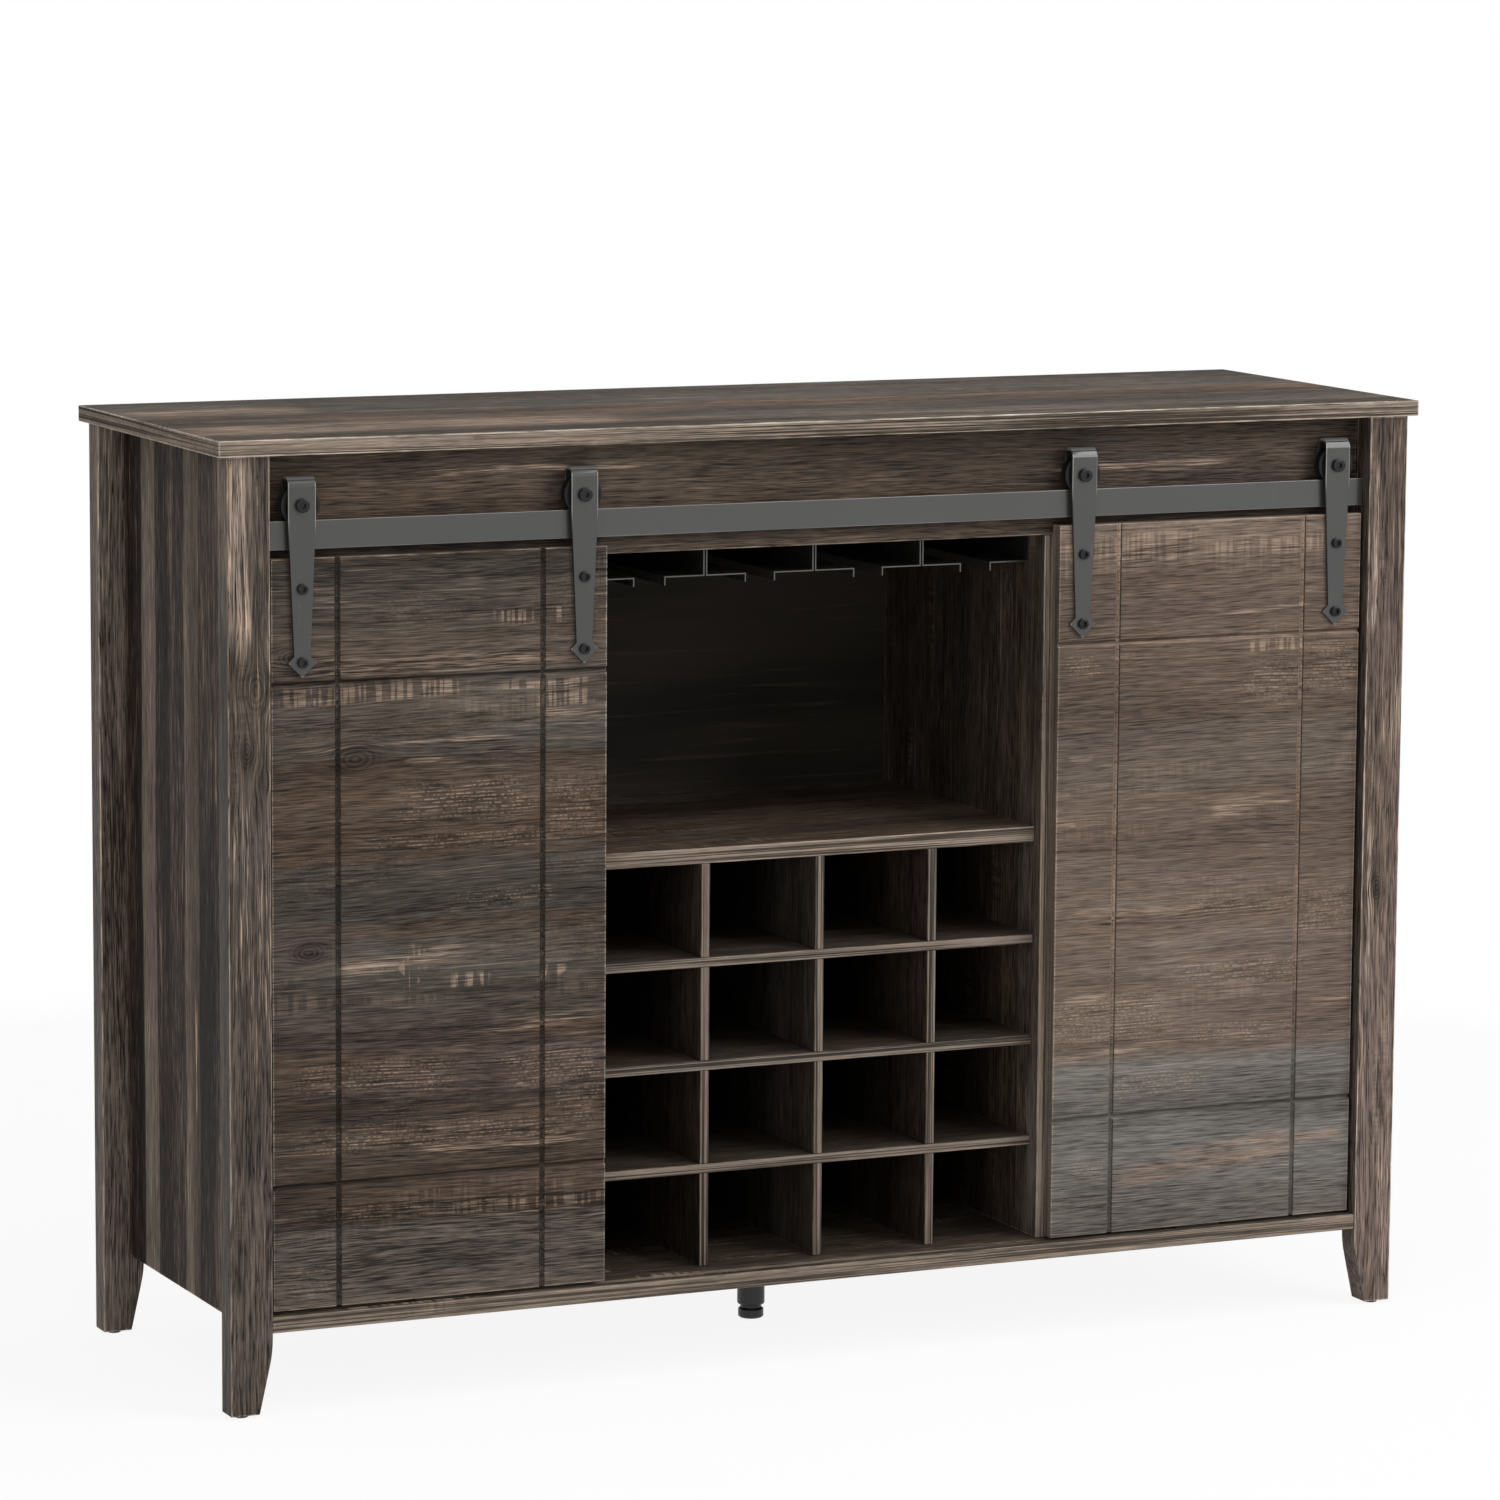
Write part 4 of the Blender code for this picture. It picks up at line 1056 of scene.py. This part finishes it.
pinLook = {
    "radius": 0.0025,
    "length": 0.0085,
    "collar": 0.0040,
    "collarWidth": 0.0012,
    "rim": 0.0006,          # rounding of the end
    "gap": 0.0002,          # between the collar and the shelf
    "inset": 0.045,         # from the shelf's front and rear
    "smooth": 35,
}


def modelPin(look):
    # A shelf pin with a collar, along +X from its seat at the origin.
    bpy.ops.mesh.primitive_cylinder_add(vertices=20, radius=look["collar"],
                                        depth=look["collarWidth"],
                                        location=(0, 0, look["collarWidth"] / 2))
    pin = bpy.context.object
    bpy.ops.object.mode_set(mode="EDIT")
    pick(pin, lambda place, normal: normal.z > 0.9, "FACE")
    bpy.ops.mesh.inset(thickness=look["collar"] - look["radius"])
    bpy.ops.mesh.extrude_region_move(
        TRANSFORM_OT_translate={"value": (0, 0, look["length"] - look["collarWidth"])})
    pick(pin, lambda place: place.z > look["length"] / 2 - 1e-5, "EDGE")
    bpy.ops.mesh.bevel(offset=look["rim"], segments=2)
    closeModel(pin, "pinModel", (0, 90, 0), look["smooth"])
    return pin


def placePins(look):
    model = modelPin(look)
    model.data.materials.append(smallFinish("pin"))
    for side in ("left", "right"):
        low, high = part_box(f"{side}_side_shelf")
        copies = []
        for x, turn in ((low[0], 0), (high[0], 180)):
            for y in (low[1] + look["inset"], high[1] - look["inset"]):
                model.rotation_euler.z = math.radians(turn)
                copies.append(copyTo(model, f"{side}Pin{len(copies)}",
                                     (x, y, low[2] - look["collar"] - look["gap"])))
        pins = joined(copies, f"{side}_shelf_pins")
        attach(pins, "root")
    bpy.data.objects.remove(model)


placePins(pinLook)
print("shelf pins modelled")


edgeRounding = {
    "wood": 0.0007,
    "steel": 0.0006,
    "small": 0.0003,
    "weld": 0.00001,
    "flat": 1,              # degrees up to which faces count as one
    "corner": 32,           # degrees from which an edge is rounded
}


def roundEdges(node, kind, look):
    # Small roundings catch the light. A node's mesh is loose triangles, so it is welded first.
    piece = nodes[node]
    weld = piece.modifiers.new("weld", "WELD")
    weld.merge_threshold = look["weld"]
    flat = piece.modifiers.new("flat", "DECIMATE")
    flat.decimate_type = "DISSOLVE"
    flat.angle_limit = math.radians(look["flat"])
    rounding = piece.modifiers.new("rounding", "BEVEL")
    rounding.width = look[kind]
    rounding.segments = 2
    rounding.limit_method = "ANGLE"
    rounding.angle_limit = math.radians(look["corner"])
    rounding.harden_normals = True


woodNames = ("door_panel", "post", "rack", "side_panel", "partition", "side_shelf")
for name in nodes:
    if "hanger" in name or name == "track_bar":
        roundEdges(name, "steel", edgeRounding)
    elif name in boardLook or any(word in name for word in woodNames):
        roundEdges(name, "wood", edgeRounding)
    elif "glide" in name or "guide" in name or name == "center_leg":
        roundEdges(name, "small", edgeRounding)
print("edges rounded")


studio = {
    "world": 0.34,
    "key": {"place": (2.6, -3.0, 2.5), "aim": (0.2, 0, 0.45), "size": 2.4, "power": 92},
    "top": {"place": (0.1, -0.6, 3.0), "aim": (0, 0, 0.6), "size": 2.4, "power": 44},
    "fill": {"place": (-3.0, -3.2, 1.6), "aim": (0, 0, 0.45), "size": 2.4, "power": 18},
    "floor": 0.94,
    "floorSize": 14,
    "shadow": 0.10,       # how strongly the floor's shadow shows
    "fade": (0.7, 2.0),   # metres from the middle between which that shadow fades out
}
white = (1, 1, 1, 1)


def addStudio(look):
    # The world lights weakly and is seen as white.
    world = bpy.data.worlds.new("studioWorld")
    bpy.context.scene.world = world
    graph = Graph(world, "Background", "World Output")
    graph.finish({"Color": white, "Strength": look["world"]})
    shown = graph.add("ShaderNodeBackground", {}, {"Color": white, "Strength": 1.0})
    graph.showMix(graph.seen(), shown)
    for name in ("key", "top", "fill"):
        lamp = bpy.data.lights.new(name + "Light", "AREA")
        lamp.energy = look[name]["power"]
        lamp.size = look[name]["size"]
        holder = bpy.data.objects.new(name + "Light", lamp)
        bpy.context.scene.collection.objects.link(holder)
        holder.location = look[name]["place"]
        aim = Vector(look[name]["aim"]) - holder.location
        holder.rotation_euler = aim.to_track_quat("-Z", "Y").to_euler()


def addFloor(look):
    # White where it is seen, apart from a faint shadow.
    bpy.ops.mesh.primitive_plane_add(size=look["floorSize"], location=(0, 0, 0))
    floor = bpy.context.object
    floor.name = "studioFloor"
    graph = Graph(bpy.data.materials.new("studioFloor"))
    away = graph.add("ShaderNodeVectorMath", {"operation": "LENGTH"}, {0: graph.place()}, "Value")
    plain = graph.add("ShaderNodeEmission", {}, {"Color": white, "Strength": 1.0})
    graph.finish({"Base Color": (look["floor"],) * 3 + (1,), "Roughness": 0.9,
                  "Specular IOR Level": 0.1})
    graph.showMix(away.rise(*look["fade"]).higher(1 - look["shadow"]) * graph.seen(), plain)
    floor.data.materials.append(graph.owner)


addStudio(studio)
addFloor(studio)
print("studio lit")
